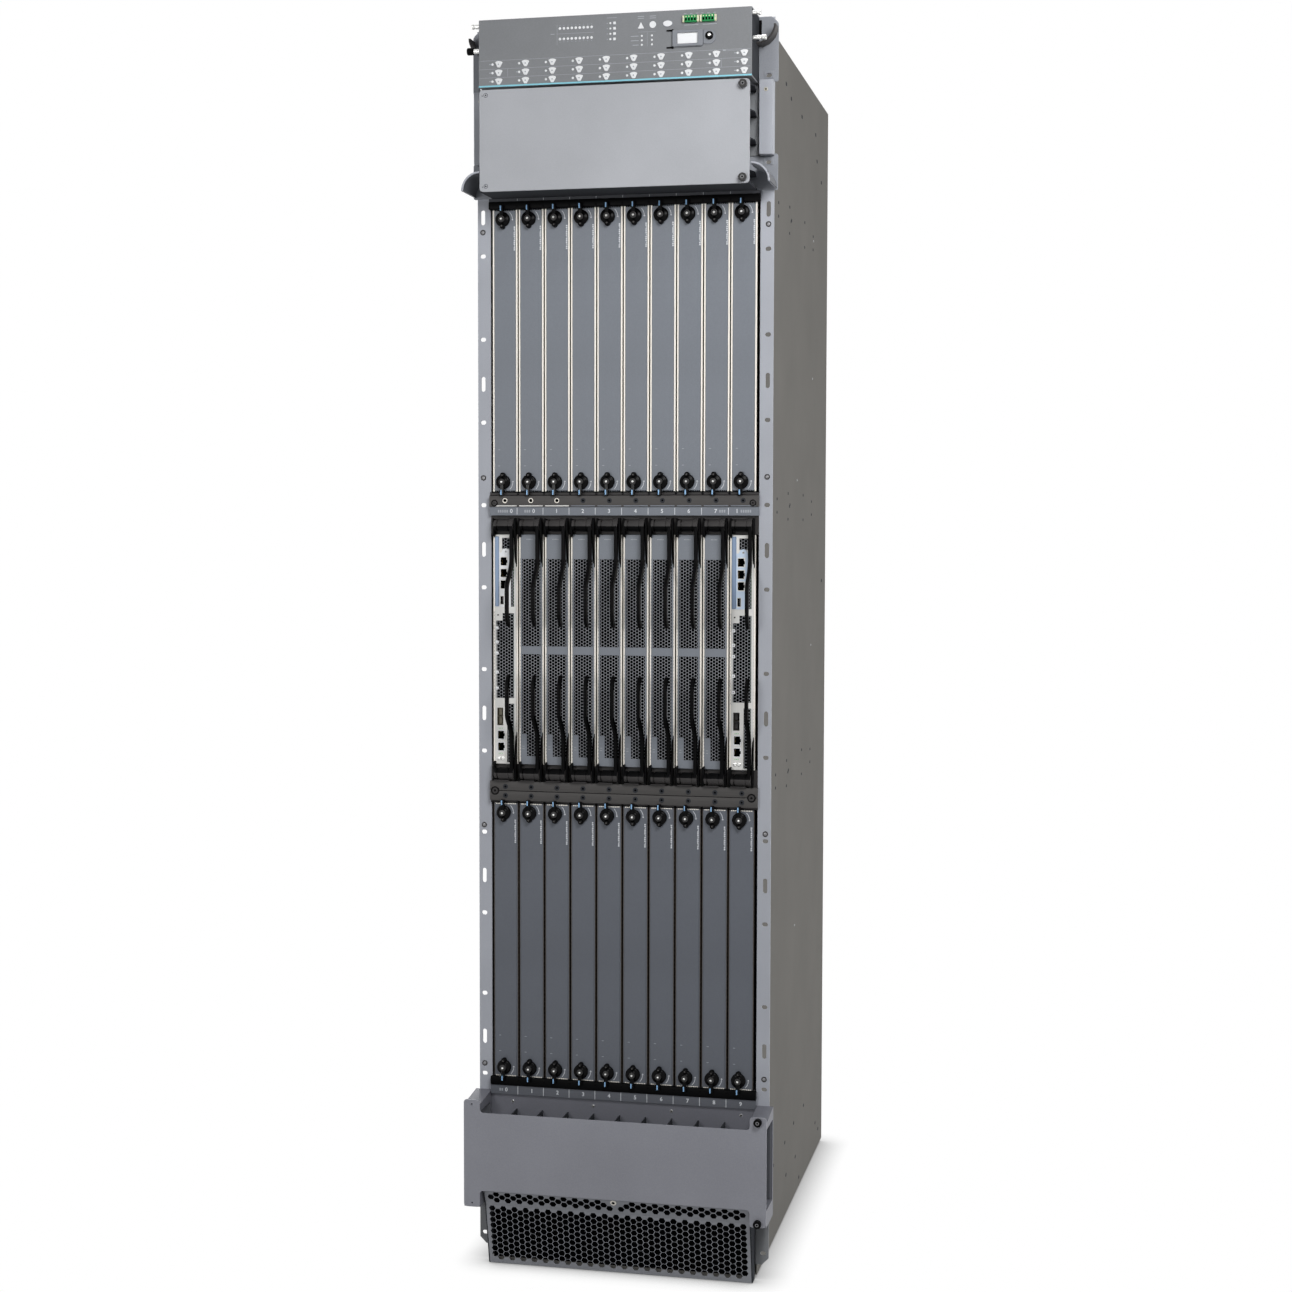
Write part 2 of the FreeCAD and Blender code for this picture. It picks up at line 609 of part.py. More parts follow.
def upper_cable_tray():
    """Tray above the upper cards: back sheet with side wings, floor, fins and bend guides."""
    wing_hole, bracket_hole = rack_hole_levels()[:2]
    bracket_top = bracket_hole + BRACKET_RIM
    wing_low = wing_hole - WING_RIM
    half = [(half_wing, z_upper_tray), (half_wing, bracket_top), (half_upper_cover, bracket_top),
            (half_upper_cover, wing_low), (half_wing, wing_low), (half_wing, z_craft_top - WING_CHAMFER),
            (half_wing - WING_CHAMFER, z_craft_top)]
    outline = half + [(-x, z) for x, z in reversed(half)]
    sheet = prism_y(outline, -TRAY_SHEET, 0)
    tools = rack_hole_tools(-1, -2 * TRAY_SHEET, TRAY_SHEET) + rack_hole_tools(1, -2 * TRAY_SHEET, TRAY_SHEET)
    solids = [sheet.cut(tools)]
    front = -UPPER_COVER_FRONT + COVER_SHEET
    floor_top = z_upper_tray + TRAY_SHEET
    solids.append(box(-half_upper_cover, half_upper_cover, front, -TRAY_SHEET, z_upper_tray, floor_top))
    fin = [(-TRAY_SHEET, floor_top), (-TRAY_SHEET - UPPER_FIN_REACH, floor_top),
           (-TRAY_SHEET, floor_top + UPPER_FIN_RISE)]
    for k in range(1, SLOT_COUNT):
        x = slot_x(k) - SLOT_PITCH / 2
        solids.append(prism_x(fin, x - FIN_SHEET / 2, x + FIN_SHEET / 2))
    for side in (-1, 1):
        solids.append(bend_guide(side, half_upper_cover + GUIDE_SIDE_GAP, floor_top, -1, front))
        solids.append(bend_guide(side, half_craft, z_craft_top - UPPER_GUIDE_DROP, 1,
                                 UPPER_GUIDE_BACK - CRAFT_FRONT))
    return solids


def lower_cable_tray():
    """Tray below the lower cards: back sheet, floor, cable fins and open end posts."""
    front = -LOWER_COVER_FRONT + COVER_SHEET
    floor_top = z_lower_tray + LOWER_COVER_ARCH + TRAY_SHEET
    solids = [box(-post_inner, post_inner, -TRAY_SHEET, 0, z_lower_tray, z_lower_strip),
              box(-post_inner, post_inner, front, -TRAY_SHEET, floor_top - TRAY_SHEET, floor_top)]
    post_low = z_lower_tray - POST_DROP
    post_top = z_lower_strip + POST_RISE
    for side in (-1, 1):
        ends = sorted((side * post_inner, side * half_post))
        post = box(ends[0], ends[1], front, 0, post_low, post_top)
        window = box(ends[0], ends[1], front, -POST_BACK, post_low + POST_BOTTOM_BAR, post_top - POST_TOP_BAR)
        solids.append(post.cut(window))
    fin_top = z_lower_strip - LOWER_FIN_DROP
    fin_front = -TRAY_SHEET - LOWER_FIN_DEPTH
    fin = [(-TRAY_SHEET, fin_top), (fin_front, fin_top), (fin_front, fin_top - LOWER_FIN_TIP),
           (-TRAY_SHEET, fin_top - LOWER_FIN_HEIGHT)]
    for k in range(1, SLOT_COUNT):
        x = slot_x(k) - SLOT_PITCH / 2 - SIDE_MARGIN
        solids.append(prism_x(fin, x - FIN_SHEET / 2, x + FIN_SHEET / 2))
    return solids


def cable_covers():
    """Flat cover of the upper tray and H-shaped cover of the lower tray, each with two thumbscrews."""
    upper = box(-half_upper_cover, half_upper_cover, -UPPER_COVER_FRONT, -UPPER_COVER_FRONT + COVER_SHEET,
                z_upper_tray, z_upper_tray_top)
    corners = [edge for edge in upper.Edges if abs(edge.tangentAt(edge.FirstParameter).y) > 0.9]
    upper = upper.makeFillet(UPPER_COVER_CORNER, corners)
    top = z_lower_strip + POST_RISE
    notch = top - POST_TOP_BAR - COVER_SHEET
    low = z_lower_tray - POST_DROP
    arch = z_lower_tray + LOWER_COVER_ARCH
    half = [(half_post, low), (half_post, top), (post_inner, top), (post_inner, notch)]
    foot = [(-post_inner, low), (-post_inner, arch), (post_inner, arch), (post_inner, low)]
    outline = half + [(-x, z) for x, z in reversed(half)] + foot
    lower = prism_y(outline, -LOWER_COVER_FRONT, -LOWER_COVER_FRONT + COVER_SHEET)
    screws = [(half_upper_cover - UPPER_SCREW_INSET, z, UPPER_COVER_FRONT)
              for z in (z_upper_tray + UPPER_SCREW_RISE, z_upper_tray_top - UPPER_SCREW_RISE)]
    screws += [((post_inner + half_post) / 2, z, LOWER_COVER_FRONT)
               for z in (low + LOWER_SCREW_RISE, top - LOWER_SCREW_RISE)]
    heads = [prism_y(ring(THUMBSCREW_SIDES, THUMBSCREW_RADIUS, x, z), -front - THUMBSCREW_DEPTH, -front)
             for x, z, front in screws]
    return [upper, lower] + heads


def hex_rows(low, high):
    """Centres of hexagon holes in a staggered field between two levels."""
    rise = HEX_PITCH * math.sqrt(3) / 2
    rows = int((high - low - 2 * HEX_BORDER) // rise) + 1
    span = half_grille - HEX_BORDER - HEX_PITCH / 2
    columns = int(2 * span // HEX_PITCH)
    first = (low + high - (rows - 1) * rise) / 2
    centres = []
    for row in range(rows):
        shift = HEX_PITCH / 4 if row % 2 else -HEX_PITCH / 4
        for column in range(columns):
            centres.append(((column - (columns - 1) / 2) * HEX_PITCH + shift, first + row * rise))
    return centres


def intake_grille():
    """Folded intake sheet with two fields of hexagon holes and closed cheeks."""
    top = z_lower_tray
    fold = top - GRILLE_BAND
    sheet = GRILLE_SHEET
    front = [(-GRILLE_FOOT_OUT, 0), (-GRILLE_FOLD_OUT, fold), (-GRILLE_TOP_OUT, top)]
    back = [(y + sheet, z) for y, z in front]
    section = front + [(-TRAY_SHEET, top), (-TRAY_SHEET, top - sheet), (back[2][0] + sheet, top - sheet)]
    section += [back[1], back[0]]
    skin = prism_x(section, -half_grille, half_grille)
    radius = HEX_ACROSS / math.sqrt(3)
    tools = []
    for low, high in ((0, fold), (fold, top)):
        for x, z in hex_rows(low, high):
            tools.append(prism_y(ring(6, radius, x, z), -GRILLE_TOP_OUT - sheet, -sheet - TRAY_SHEET))
    cheek = front + [(-TRAY_SHEET, top), (-TRAY_SHEET, 0)]
    cheeks = [prism_x(cheek, side * half_grille, side * (half_grille - sheet)) for side in (-1, 1)]
    return [skin.cut(tools).fuse(cheeks).removeSplitter()]


def pull(x, z0, z1):
    """Bow handle on the rear face."""
    out = rear_face + PULL_OUT
    near = out - PULL_THICKNESS
    outline = [(rear_face, z0), (out, z0), (out, z1), (rear_face, z1), (rear_face, z1 - PULL_THICKNESS),
               (near, z1 - PULL_THICKNESS), (near, z0 + PULL_THICKNESS), (rear_face, z0 + PULL_THICKNESS)]
    return prism_x(outline, x - PULL_WIDTH / 2, x + PULL_WIDTH / 2)


def rear_levels():
    """Bottoms and tops of the rear zones, mirrored about the middle of the rack."""
    low = REAR_FOOT
    high = height - REAR_FOOT
    lower_supply = low + DISTRIBUTION_HEIGHT + REAR_GAP
    upper_supply = high - DISTRIBUTION_HEIGHT - REAR_GAP - SUPPLY_HEIGHT
    middle = (low + high) / 2
    distribution = ((low, low + DISTRIBUTION_HEIGHT), (high - DISTRIBUTION_HEIGHT, high))
    supplies = ((lower_supply, lower_supply + SUPPLY_HEIGHT), (upper_supply, upper_supply + SUPPLY_HEIGHT))
    fans = ((lower_supply + SUPPLY_HEIGHT + REAR_GAP, middle - REAR_GAP / 2),
            (middle + REAR_GAP / 2, upper_supply - REAR_GAP))
    return distribution, supplies, fans


def rear_cells(columns):
    """Left and right sides of a row of rear modules between the side walls."""
    width = 2 * half_inner / columns
    return [(-half_inner + k * width + REAR_GAP / 2, -half_inner + (k + 1) * width - REAR_GAP / 2)
            for k in range(columns)]


def fan_trays():
    """Four fan trays with round outlets; the handles meet at the middle of the rack."""
    solids = []
    for low, high in rear_levels()[2]:
        handle_low = low + PULL_END_GAP if low > height / 2 else high - PULL_END_GAP - PULL_HEIGHT
        for left, right in rear_cells(FAN_COLUMNS):
            x = (left + right) / 2
            tray = box(left, right, rear_front, rear_face, low, high)
            room = high - low - 2 * PULL_END_GAP - PULL_HEIGHT
            base = low + PULL_END_GAP + (PULL_HEIGHT if low > height / 2 else 0)
            wells = []
            for k in range(FANS_PER_TRAY):
                z = base + (k + 0.5) * room / FANS_PER_TRAY
                well = ring(FAN_SIDES, room / FANS_PER_TRAY / 2 - FAN_RIM, x, z)
                wells.append(prism_y(well, rear_face - FAN_RECESS, rear_face + 1))
            solids.append(tray.cut(wells))
            solids.append(pull(x, handle_low, handle_low + PULL_HEIGHT))
    return solids


def power_modules():
    """Power supplies in two rows of nine, and wider distribution modules beyond them."""
    solids = []
    distribution, supplies = rear_levels()[:2]
    for rows, columns in ((distribution, FAN_COLUMNS), (supplies, SUPPLY_COUNT)):
        for low, high in rows:
            for left, right in rear_cells(columns):
                x = (left + right) / 2
                solids.append(box(left, right, rear_front, rear_face, low, high))
                top = high - PULL_END_GAP
                solids.append(pull(x, top - PULL_HEIGHT, top))
    return solids


def export(name, solids):
    """Write the solids of one node."""
    shape = solids[0] if len(solids) == 1 else Part.makeCompound(solids)
    shape.exportStep("parts/" + name + ".step")


def main():
    os.makedirs("parts", exist_ok=True)
    export("chassis_frame", chassis_frame())
    export("midplane", midplane())
    export("ejector_rails", ejector_rails())
    export("craft_panel", craft_panel())
    export("upper_cable_tray", upper_cable_tray())
    export("lower_cable_tray", lower_cable_tray())
    export("cable_covers", cable_covers())
    export("intake_grille", intake_grille())
    export("fan_trays", fan_trays())
    export("power_modules", power_modules())
    for index in range(SLOT_COUNT):
        label = "%02d" % (index + 1)
        export("upper_card_" + label, line_card(index, z_upper_cards))
        export("lower_card_" + label, line_card(index, z_lower_cards))
        if index in CONTROL_SLOTS:
            export("control_board_" + label, control_board(index))
        else:
            export("fabric_board_" + label, fabric_board(index))
        export("upper_handle_" + label, handle(index, z_upper_hinges + HINGE_RISE, -1))
        export("lower_handle_" + label, handle(index, z_boards - HINGE_RISE, 1))


main()
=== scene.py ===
import math
from itertools import product

import bmesh
import bpy
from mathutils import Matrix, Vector

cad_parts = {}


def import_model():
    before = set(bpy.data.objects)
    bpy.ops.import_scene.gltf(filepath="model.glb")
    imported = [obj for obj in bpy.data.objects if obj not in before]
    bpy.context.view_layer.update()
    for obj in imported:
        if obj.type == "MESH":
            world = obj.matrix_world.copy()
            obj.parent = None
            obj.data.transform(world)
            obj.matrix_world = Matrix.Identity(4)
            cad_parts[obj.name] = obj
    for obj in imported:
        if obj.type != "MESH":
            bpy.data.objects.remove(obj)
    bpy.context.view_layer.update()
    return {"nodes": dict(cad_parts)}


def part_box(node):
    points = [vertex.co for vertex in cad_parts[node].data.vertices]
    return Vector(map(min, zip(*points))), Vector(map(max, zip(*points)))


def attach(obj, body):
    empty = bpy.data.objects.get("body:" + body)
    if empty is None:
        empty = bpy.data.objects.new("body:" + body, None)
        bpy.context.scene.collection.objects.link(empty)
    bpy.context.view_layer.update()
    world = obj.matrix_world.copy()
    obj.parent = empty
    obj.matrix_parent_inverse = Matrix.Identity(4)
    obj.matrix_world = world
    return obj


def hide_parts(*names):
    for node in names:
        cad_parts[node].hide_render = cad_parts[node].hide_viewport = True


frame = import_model()

# Shapes are drawn in millimetres in the part's frame, and their meshes are in metres.
MM = 0.001
FORWARD = (0, -1, 0)
BACKWARD = (0, 1, 0)
BOTH_SIDES = (-1, 1)

# Slots and zones, as in the solids
SLOT_COUNT = 10
SLOT_PITCH = 43.3
CARD_HEIGHT = 452.0
BOARD_HEIGHT = 374.0
FACE_HALF = 21.15
PANEL_HALF = 17.75
PANEL_FRONT = -4.0
PANEL_BACK = -0.8
STRIP_FRONT = -2.8
BOARD_END = 544.5
LOWER_TRAY_Z = 130.0
LOWER_STRIP_Z = 277.0
BOTTOM_RAIL_Z = 292.0
LOWER_CARDS_Z = 306.0
LOWER_LIP_Z = 758.0
LOWER_BAR_Z = 762.0
LOWER_BAR_TOP = 794.0
BOARDS_Z = 821.0
BOARDS_TOP = 1195.0
MIDDLE_STRIP_Z = 1225.0
UPPER_BAR_Z = 1239.0
UPPER_LIP_Z = 1257.0
UPPER_CARDS_Z = 1263.0
TOP_RAIL_Z = 1715.0
TICK_STRIP_Z = 1727.0
UPPER_TRAY_Z = 1732.0
UPPER_TRAY_TOP = 1890.0
TRAY_STRIP_Z = 1785.0
TRAY_STRIP_TOP = 1899.5
CRAFT_Z = 1894.5
CRAFT_TOP = 1999.0
HEIGHT = 2000.25

# Widths and depths, as in the solids
HALF_INNER = 220.25
HALF_BODY = 222.25
HALF_PLINTH = 212.25
HALF_FLANGE = 241.3
FLANGE_INNER = 219.75
FLANGE_BACK = 2.5
FLANGE_FOOT_Z = 23.0
FLANGE_FOOT_TOP = 106.0
RACK_HOLE_X = 232.55
RACK_HOLE_TOP = 1908.6
RACK_HOLE_PITCH = 133.35
RACK_HOLE_COUNT = 15
LONG_SLOT_RISE = 61.7
HALF_BAR = 220.5
HALF_CRAFT = 217.0
HALF_COVER = 215.0
HALF_WING = 247.3
HALF_POST = 247.9
POST_INNER = 221.0
HALF_GRILLE = 219.5
BAR_FRONT = -9.0
NUMBER_FRONT = -7.0
LIP_FRONT = -3.0
TRAY_BACK = -3.0
CRAFT_FRONT = -71.6
UPPER_COVER_FRONT = -76.5
TRAY_STRIP_FRONT = -19.0
LOWER_COVER_FRONT = -68.3
LOWER_COVER_Z = 106.0
LOWER_COVER_TOP = 282.0
LOWER_FLOOR_Z = 133.0
MIDPLANE = 545.0
REAR_FRONT = 588.5
REAR_FACE = 778.5
PULL_BACK = 812.4
PULL_HEIGHT = 62.0
KNOB_X = -3.0
KNOB_INSET = 16.0
HINGE_Y = -10.0
UPPER_HINGE_Z = 1209.0
LOWER_HINGE_Z = 807.0
PRINT_RISE = 0.05


def feed(tree, target, inputs):
    """Give the inputs of a shader node their values, or link them to output sockets."""
    for name, value in inputs.items():
        if isinstance(value, bpy.types.NodeSocket):
            tree.links.new(value, target.inputs[name])
        else:
            target.inputs[name].default_value = value


def add_node(tree, kind, inputs):
    """New shader node with its inputs set or linked."""
    made = tree.nodes.new(kind)
    feed(tree, made, inputs)
    return made


def math_node(tree, operation, *values):
    """Output of a calculation with numbers and sockets."""
    made = add_node(tree, "ShaderNodeMath", dict(enumerate(values)))
    made.operation = operation
    return made.outputs[0]


def linear(rgb):
    """Linear values of an sRGB colour of 0 to 255."""
    values = [c / 255 for c in rgb]
    return [c / 12.92 if c < 0.04 else ((c + 0.055) / 1.055) ** 2.4 for c in values]


def surface(name, rgb, roughness=0.5, metallic=0.0, grain=900.0, depth=0.06, shade=0.12, stretch=(1, 1, 1),
            shine=0.3):
    """Finish with a cloudy tone, a fine grain in colour and gloss, and a slight relief."""
    material = bpy.data.materials.new(name)
    material.use_nodes = True
    tree = material.node_tree
    where = add_node(tree, "ShaderNodeTexCoord", {})
    scaled = add_node(tree, "ShaderNodeMapping", {"Vector": where.outputs["Object"], "Scale": stretch})
    spot = scaled.outputs["Vector"]
    noises = [add_node(tree, "ShaderNodeTexNoise", {"Vector": spot, "Scale": scale, "Detail": detail})
              for scale, detail in ((grain, 3.0), (7.0, 4.0))]
    fine, cloud = [noise.outputs["Fac"] for noise in noises]
    tone = math_node(tree, "MULTIPLY_ADD", fine, 0.5, math_node(tree, "MULTIPLY", cloud, 0.5))
    ramp = add_node(tree, "ShaderNodeValToRGB", {"Fac": tone})
    for stop, place, level in zip(ramp.color_ramp.elements, (0.3, 0.7), (1 - shade, 1 + shade)):
        stop.position = place
        stop.color = [min(1.0, c * level) for c in linear(rgb)] + [1.0]
    spread = 0.07
    gloss = add_node(tree, "ShaderNodeMapRange", {"Value": tone, "To Min": max(0.03, roughness - spread),
                                                  "To Max": min(1.0, roughness + spread)})
    relief = add_node(tree, "ShaderNodeBump", {"Strength": depth, "Distance": 0.0004, "Height": fine})
    feed(tree, tree.nodes["Principled BSDF"], {
        "Metallic": metallic, "Specular IOR Level": shine, "Base Color": ramp.outputs["Color"],
        "Roughness": gloss.outputs["Result"], "Normal": relief.outputs["Normal"]})
    return material


def plated(name, rgb, metallic, depth=0.03, shade=0.05, roughness=0.5):
    """Bright plate with an upright brushed grain."""
    return surface(name, rgb, roughness, metallic, 500, depth, shade, (1, 1, 0.06))


def moulded(name, rgb, roughness, depth, shade, grain=900, shine=0.3):
    """Plastic, lacquer or print."""
    return surface(name, rgb, roughness, 0.0, grain, depth, shade, shine=shine)


def anodised(name, rgb):
    """Dark bar with a level brushed grain."""
    return surface(name, rgb, 0.45, 0.0, 700, 0.05, 0.14, (0.06, 1, 1), 0.12)


materials = {
    "wall": surface("wall_paint", (118, 116, 112), 0.75, shine=0.1),
    "flange": surface("flange_paint", (176, 179, 187)),
    "craft": surface("craft_paint", (129, 131, 134)),
    "cover": surface("cover_paint", (176, 178, 183), 0.48),
    # Shaded copy of the cover paint for the lower cover, painted darker as painted shade.
    "cover_low": surface("cover_paint_shaded", (149, 150, 158), 0.48),
    # Shaded copy of the tray paint for the lower tray, painted darker as painted shade.
    "tray_low": surface("tray_paint_shaded", (118, 119, 127)),
    "tray": surface("tray_paint", (148, 151, 158)),
    # Dark grey for the shelves and plain screw heads, which also paints shade on shelf undersides, slots,
    # fins, the craft panel's ends and the grille cheeks.
    "shelf": surface("dark_grey_and_shade_paint", (58, 60, 64), 0.8, shine=0.05),
    "grille": surface("grille_paint", (150, 152, 158)),
    # Mid grey, used as painted shade on the bend guides' skins and inside the lower tray's posts, and for
    # the rings under the upper cover's screws.
    "cheek": surface("mid_grey_and_shade_paint", (92, 94, 99)),
    "card": surface("card_paint", (123, 128, 136), 0.46),
    # Shaded copy of the card paint for the lower cage, painted darker as painted shade.
    "card_low": surface("card_paint_shaded", (100, 104, 112), 0.46),
    "board": surface("board_paint", (128, 133, 141), 0.46),
    "web": surface("hexagon_web", (146, 148, 153)),
    "strip": surface("number_strip", (122, 127, 135)),
    # Shaded copy of the number strip paint for the lower strip, painted darker as painted shade.
    "strip_low": surface("number_strip_shaded", (98, 101, 108)),
    "tick_strip": surface("tick_strip", (60, 62, 68)),
    "bezel": surface("display_bezel", (134, 137, 143), 0.42),
    "nickel": plated("nickel_plate", (236, 231, 222), 0.3, 0.04),
    # Shaded copy of the nickel plate for the lower cage's strips, painted darker as painted shade.
    "bronze": plated("nickel_in_shade", (62, 57, 52), 0.8, 0.04, 0.06),
    "silver": plated("control_plate", (216, 215, 212), 0.2, 0.04),
    "blue_plate": plated("blue_silver_plate", (234, 236, 238), 0.1),
    "ice_plate": plated("ice_blue_plate", (196, 212, 230), 0.1),
    "blue_bar": plated("blue_silver_bar", (124, 142, 168), 0.2, roughness=0.4),
    "rail": anodised("rail_grey", (64, 62, 62)),
    "bar": anodised("bar_grey", (82, 80, 79)),
    "gasket": surface("contact_fingers", (92, 78, 60), 0.45, 0.8, 700, 0.05, 0.2),
    "olive": surface("module_cage", (92, 88, 76), 0.42, 0.6, 600, 0.05, 0.15),
    "screw": surface("dull_steel", (118, 118, 120), 0.42, 0.9, 800, 0.05, 0.1),
    "steel": surface("bright_steel", (206, 206, 204), 0.28, 1.0, 800, 0.04, 0.06),
    "sink": surface("cast_aluminium", (168, 170, 173), 0.42, 1.0, 600, 0.1, 0.08),
    "gold": surface("gold_contacts", (208, 172, 96), 0.3, 1.0, 600, 0.03, 0.06),
    "zinc": surface("zinc_plate", (178, 181, 184), 0.44, 0.35, 60, 0.05, 0.14),
    "black": moulded("moulded_black", (11, 11, 12), 0.4, 0.08, 0.2, 800, 0.03),
    "gloss": moulded("glossy_black", (9, 9, 10), 0.2, 0.01, 0.2, 300, 0.06),
    # Dark grey: the upper thumbscrews' own tone, and on the knob hubs a painted sheen round the highlight.
    "hub": moulded("dark_grey_and_sheen", (58, 57, 57), 0.35, 0.02, 0.2, 300, 0.2),
    "dark": moulded("deep_shadow_black", (8, 8, 9), 0.9, 0.05, 0.3, 600, 0.0),
    "ink": moulded("white_print", (228, 231, 235), 0.6, 0.02, 0.05, 1500),
    "faint_ink": moulded("faint_print", (172, 176, 182), 0.6, 0.02, 0.05, 1500),
    "blue": moulded("stem_blue", (150, 194, 236), 0.4, 0.03, 0.06),
    "cyan": moulded("cyan_stripe", (142, 208, 224), 0.45, 0.02, 0.05),
    "key": moulded("key_white", (236, 237, 239), 0.4, 0.03, 0.03),
    "window": moulded("display_window", (247, 248, 250), 0.12, 0.01, 0.02, 300),
    "green": moulded("terminal_green", (34, 140, 76), 0.4, 0.05, 0.14),
    "pale": moulded("terminal_pale", (224, 222, 188), 0.45, 0.04, 0.06),
    "circuit": moulded("solder_mask", (28, 82, 48), 0.42, 0.25, 0.35, 420),
    "chip": moulded("chip_black", (34, 34, 37), 0.55, 0.06, 0.15),
    "cream": moulded("connector_cream", (214, 210, 196), 0.5, 0.04, 0.06),
    "lamp": moulded("lamp_green", (70, 190, 90), 0.3, 0.02, 0.08),
}


def facing_front(a, b, d):
    """Flat point (x, z) at depth y."""
    return (a, d, b)


def facing_side(a, b, d):
    """Flat point (y, z) at depth x."""
    return (d, a, b)


def facing_up(a, b, d):
    """Flat point (x, y) at height z."""
    return (a, b, d)


def span(side, inner, outer):
    """Two distances from the middle, on one side of it, as an ordered pair."""
    return sorted((side * inner, side * outer))


def rectangle(a0, a1, b0, b1):
    """Outline of a rectangle."""
    return [(a0, b0), (a1, b0), (a1, b1), (a0, b1)]


def circle(a, b, radius, sides):
    """Outline of a circle."""
    steps = [2 * math.pi * k / sides for k in range(sides)]
    return [(a + radius * math.cos(t), b + radius * math.sin(t)) for t in steps]


def oval(a, b, length_a, length_b, sides=20):
    """Outline of a slot with round ends."""
    radius = min(length_a, length_b) / 2
    run_a = length_a / 2 - radius
    run_b = length_b / 2 - radius
    steps = [2 * math.pi * (k + 0.5) / sides for k in range(sides)]
    return [(a + radius * math.cos(t) + math.copysign(run_a, math.cos(t)),
             b + radius * math.sin(t) + math.copysign(run_b, math.sin(t))) for t in steps]


def rounded(outline, radius, steps):
    """Outline with each corner turned into a short curve."""
    soft = []
    for k, corner in enumerate(outline):
        corner = Vector(corner)
        ends = []
        for other in (outline[k - 1], outline[(k + 1) % len(outline)]):
            run = Vector(other) - corner
            ends.append(corner + run * min(0.5, radius / run.length))
        for step in range(steps + 1):
            t = step / steps
            soft.append(tuple((1 - t) ** 2 * ends[0] + 2 * t * (1 - t) * corner + t ** 2 * ends[1]))
    return soft


def soft_rectangle(a0, a1, b0, b1, radius, steps):
    """Outline of a rectangle with rounded corners."""
    return rounded(rectangle(a0, a1, b0, b1), radius, steps)


def mirrored(right):
    """Outline whose right half runs through the given points."""
    return right + [(-a, b) for a, b in reversed(right)]


def inset(outline, amount):
    """Outline moved inwards by an even amount."""
    pairs = list(zip(outline, outline[1:] + outline[:1]))
    turn = math.copysign(1, sum(a[0] * b[1] - b[0] * a[1] for a, b in pairs))
    inward = []
    for a, b in pairs:
        run = Vector(b) - Vector(a)
        run.normalize()
        inward.append(Vector((-run.y, run.x)) * turn)
    moved = []
    for k, point in enumerate(outline):
        both = inward[k - 1] + inward[k]
        moved.append(tuple(Vector(point) + both * (amount / max(0.35, 1 + inward[k - 1].dot(inward[k])))))
    return moved


def hexagon(a, b, across):
    """Upright hexagon with a point at the top."""
    radius = across / math.sqrt(3)
    turns = [math.pi / 3 * k for k in range(6)]
    return [(a + radius * math.sin(t), b + radius * math.cos(t)) for t in turns]


def hexagon_centres(a0, a1, b0, b1, pitch):
    """Centres of staggered hexagons that lie inside a rectangle."""
    rise = pitch * math.sqrt(3) / 2
    columns = int((a1 - a0) // pitch) + 1
    rows = int((b1 - b0) // rise) + 1
    first_b = (b0 + b1 - (rows - 1) * rise) / 2
    centres = []
    for row in range(rows):
        count = columns - row % 2
        first_a = (a0 + a1 - (count - 1) * pitch) / 2
        centres += [(first_a + column * pitch, first_b + row * rise) for column in range(count)]
    return centres


def fill(loops):
    """Triangles that fill the first loop and leave the others open."""
    work = bmesh.new()
    edges = []
    for loop in loops:
        ring = [work.verts.new((a, b, 0)) for a, b in loop]
        edges += [work.edges.new((ring[k - 1], ring[k])) for k in range(len(ring))]
    bmesh.ops.triangle_fill(work, use_beauty=False, use_dissolve=False, edges=edges, normal=(0, 0, 1))
    work.verts.index_update()
    triangles = [[v.index for v in face.verts] for face in work.faces]
    work.free()
    return triangles


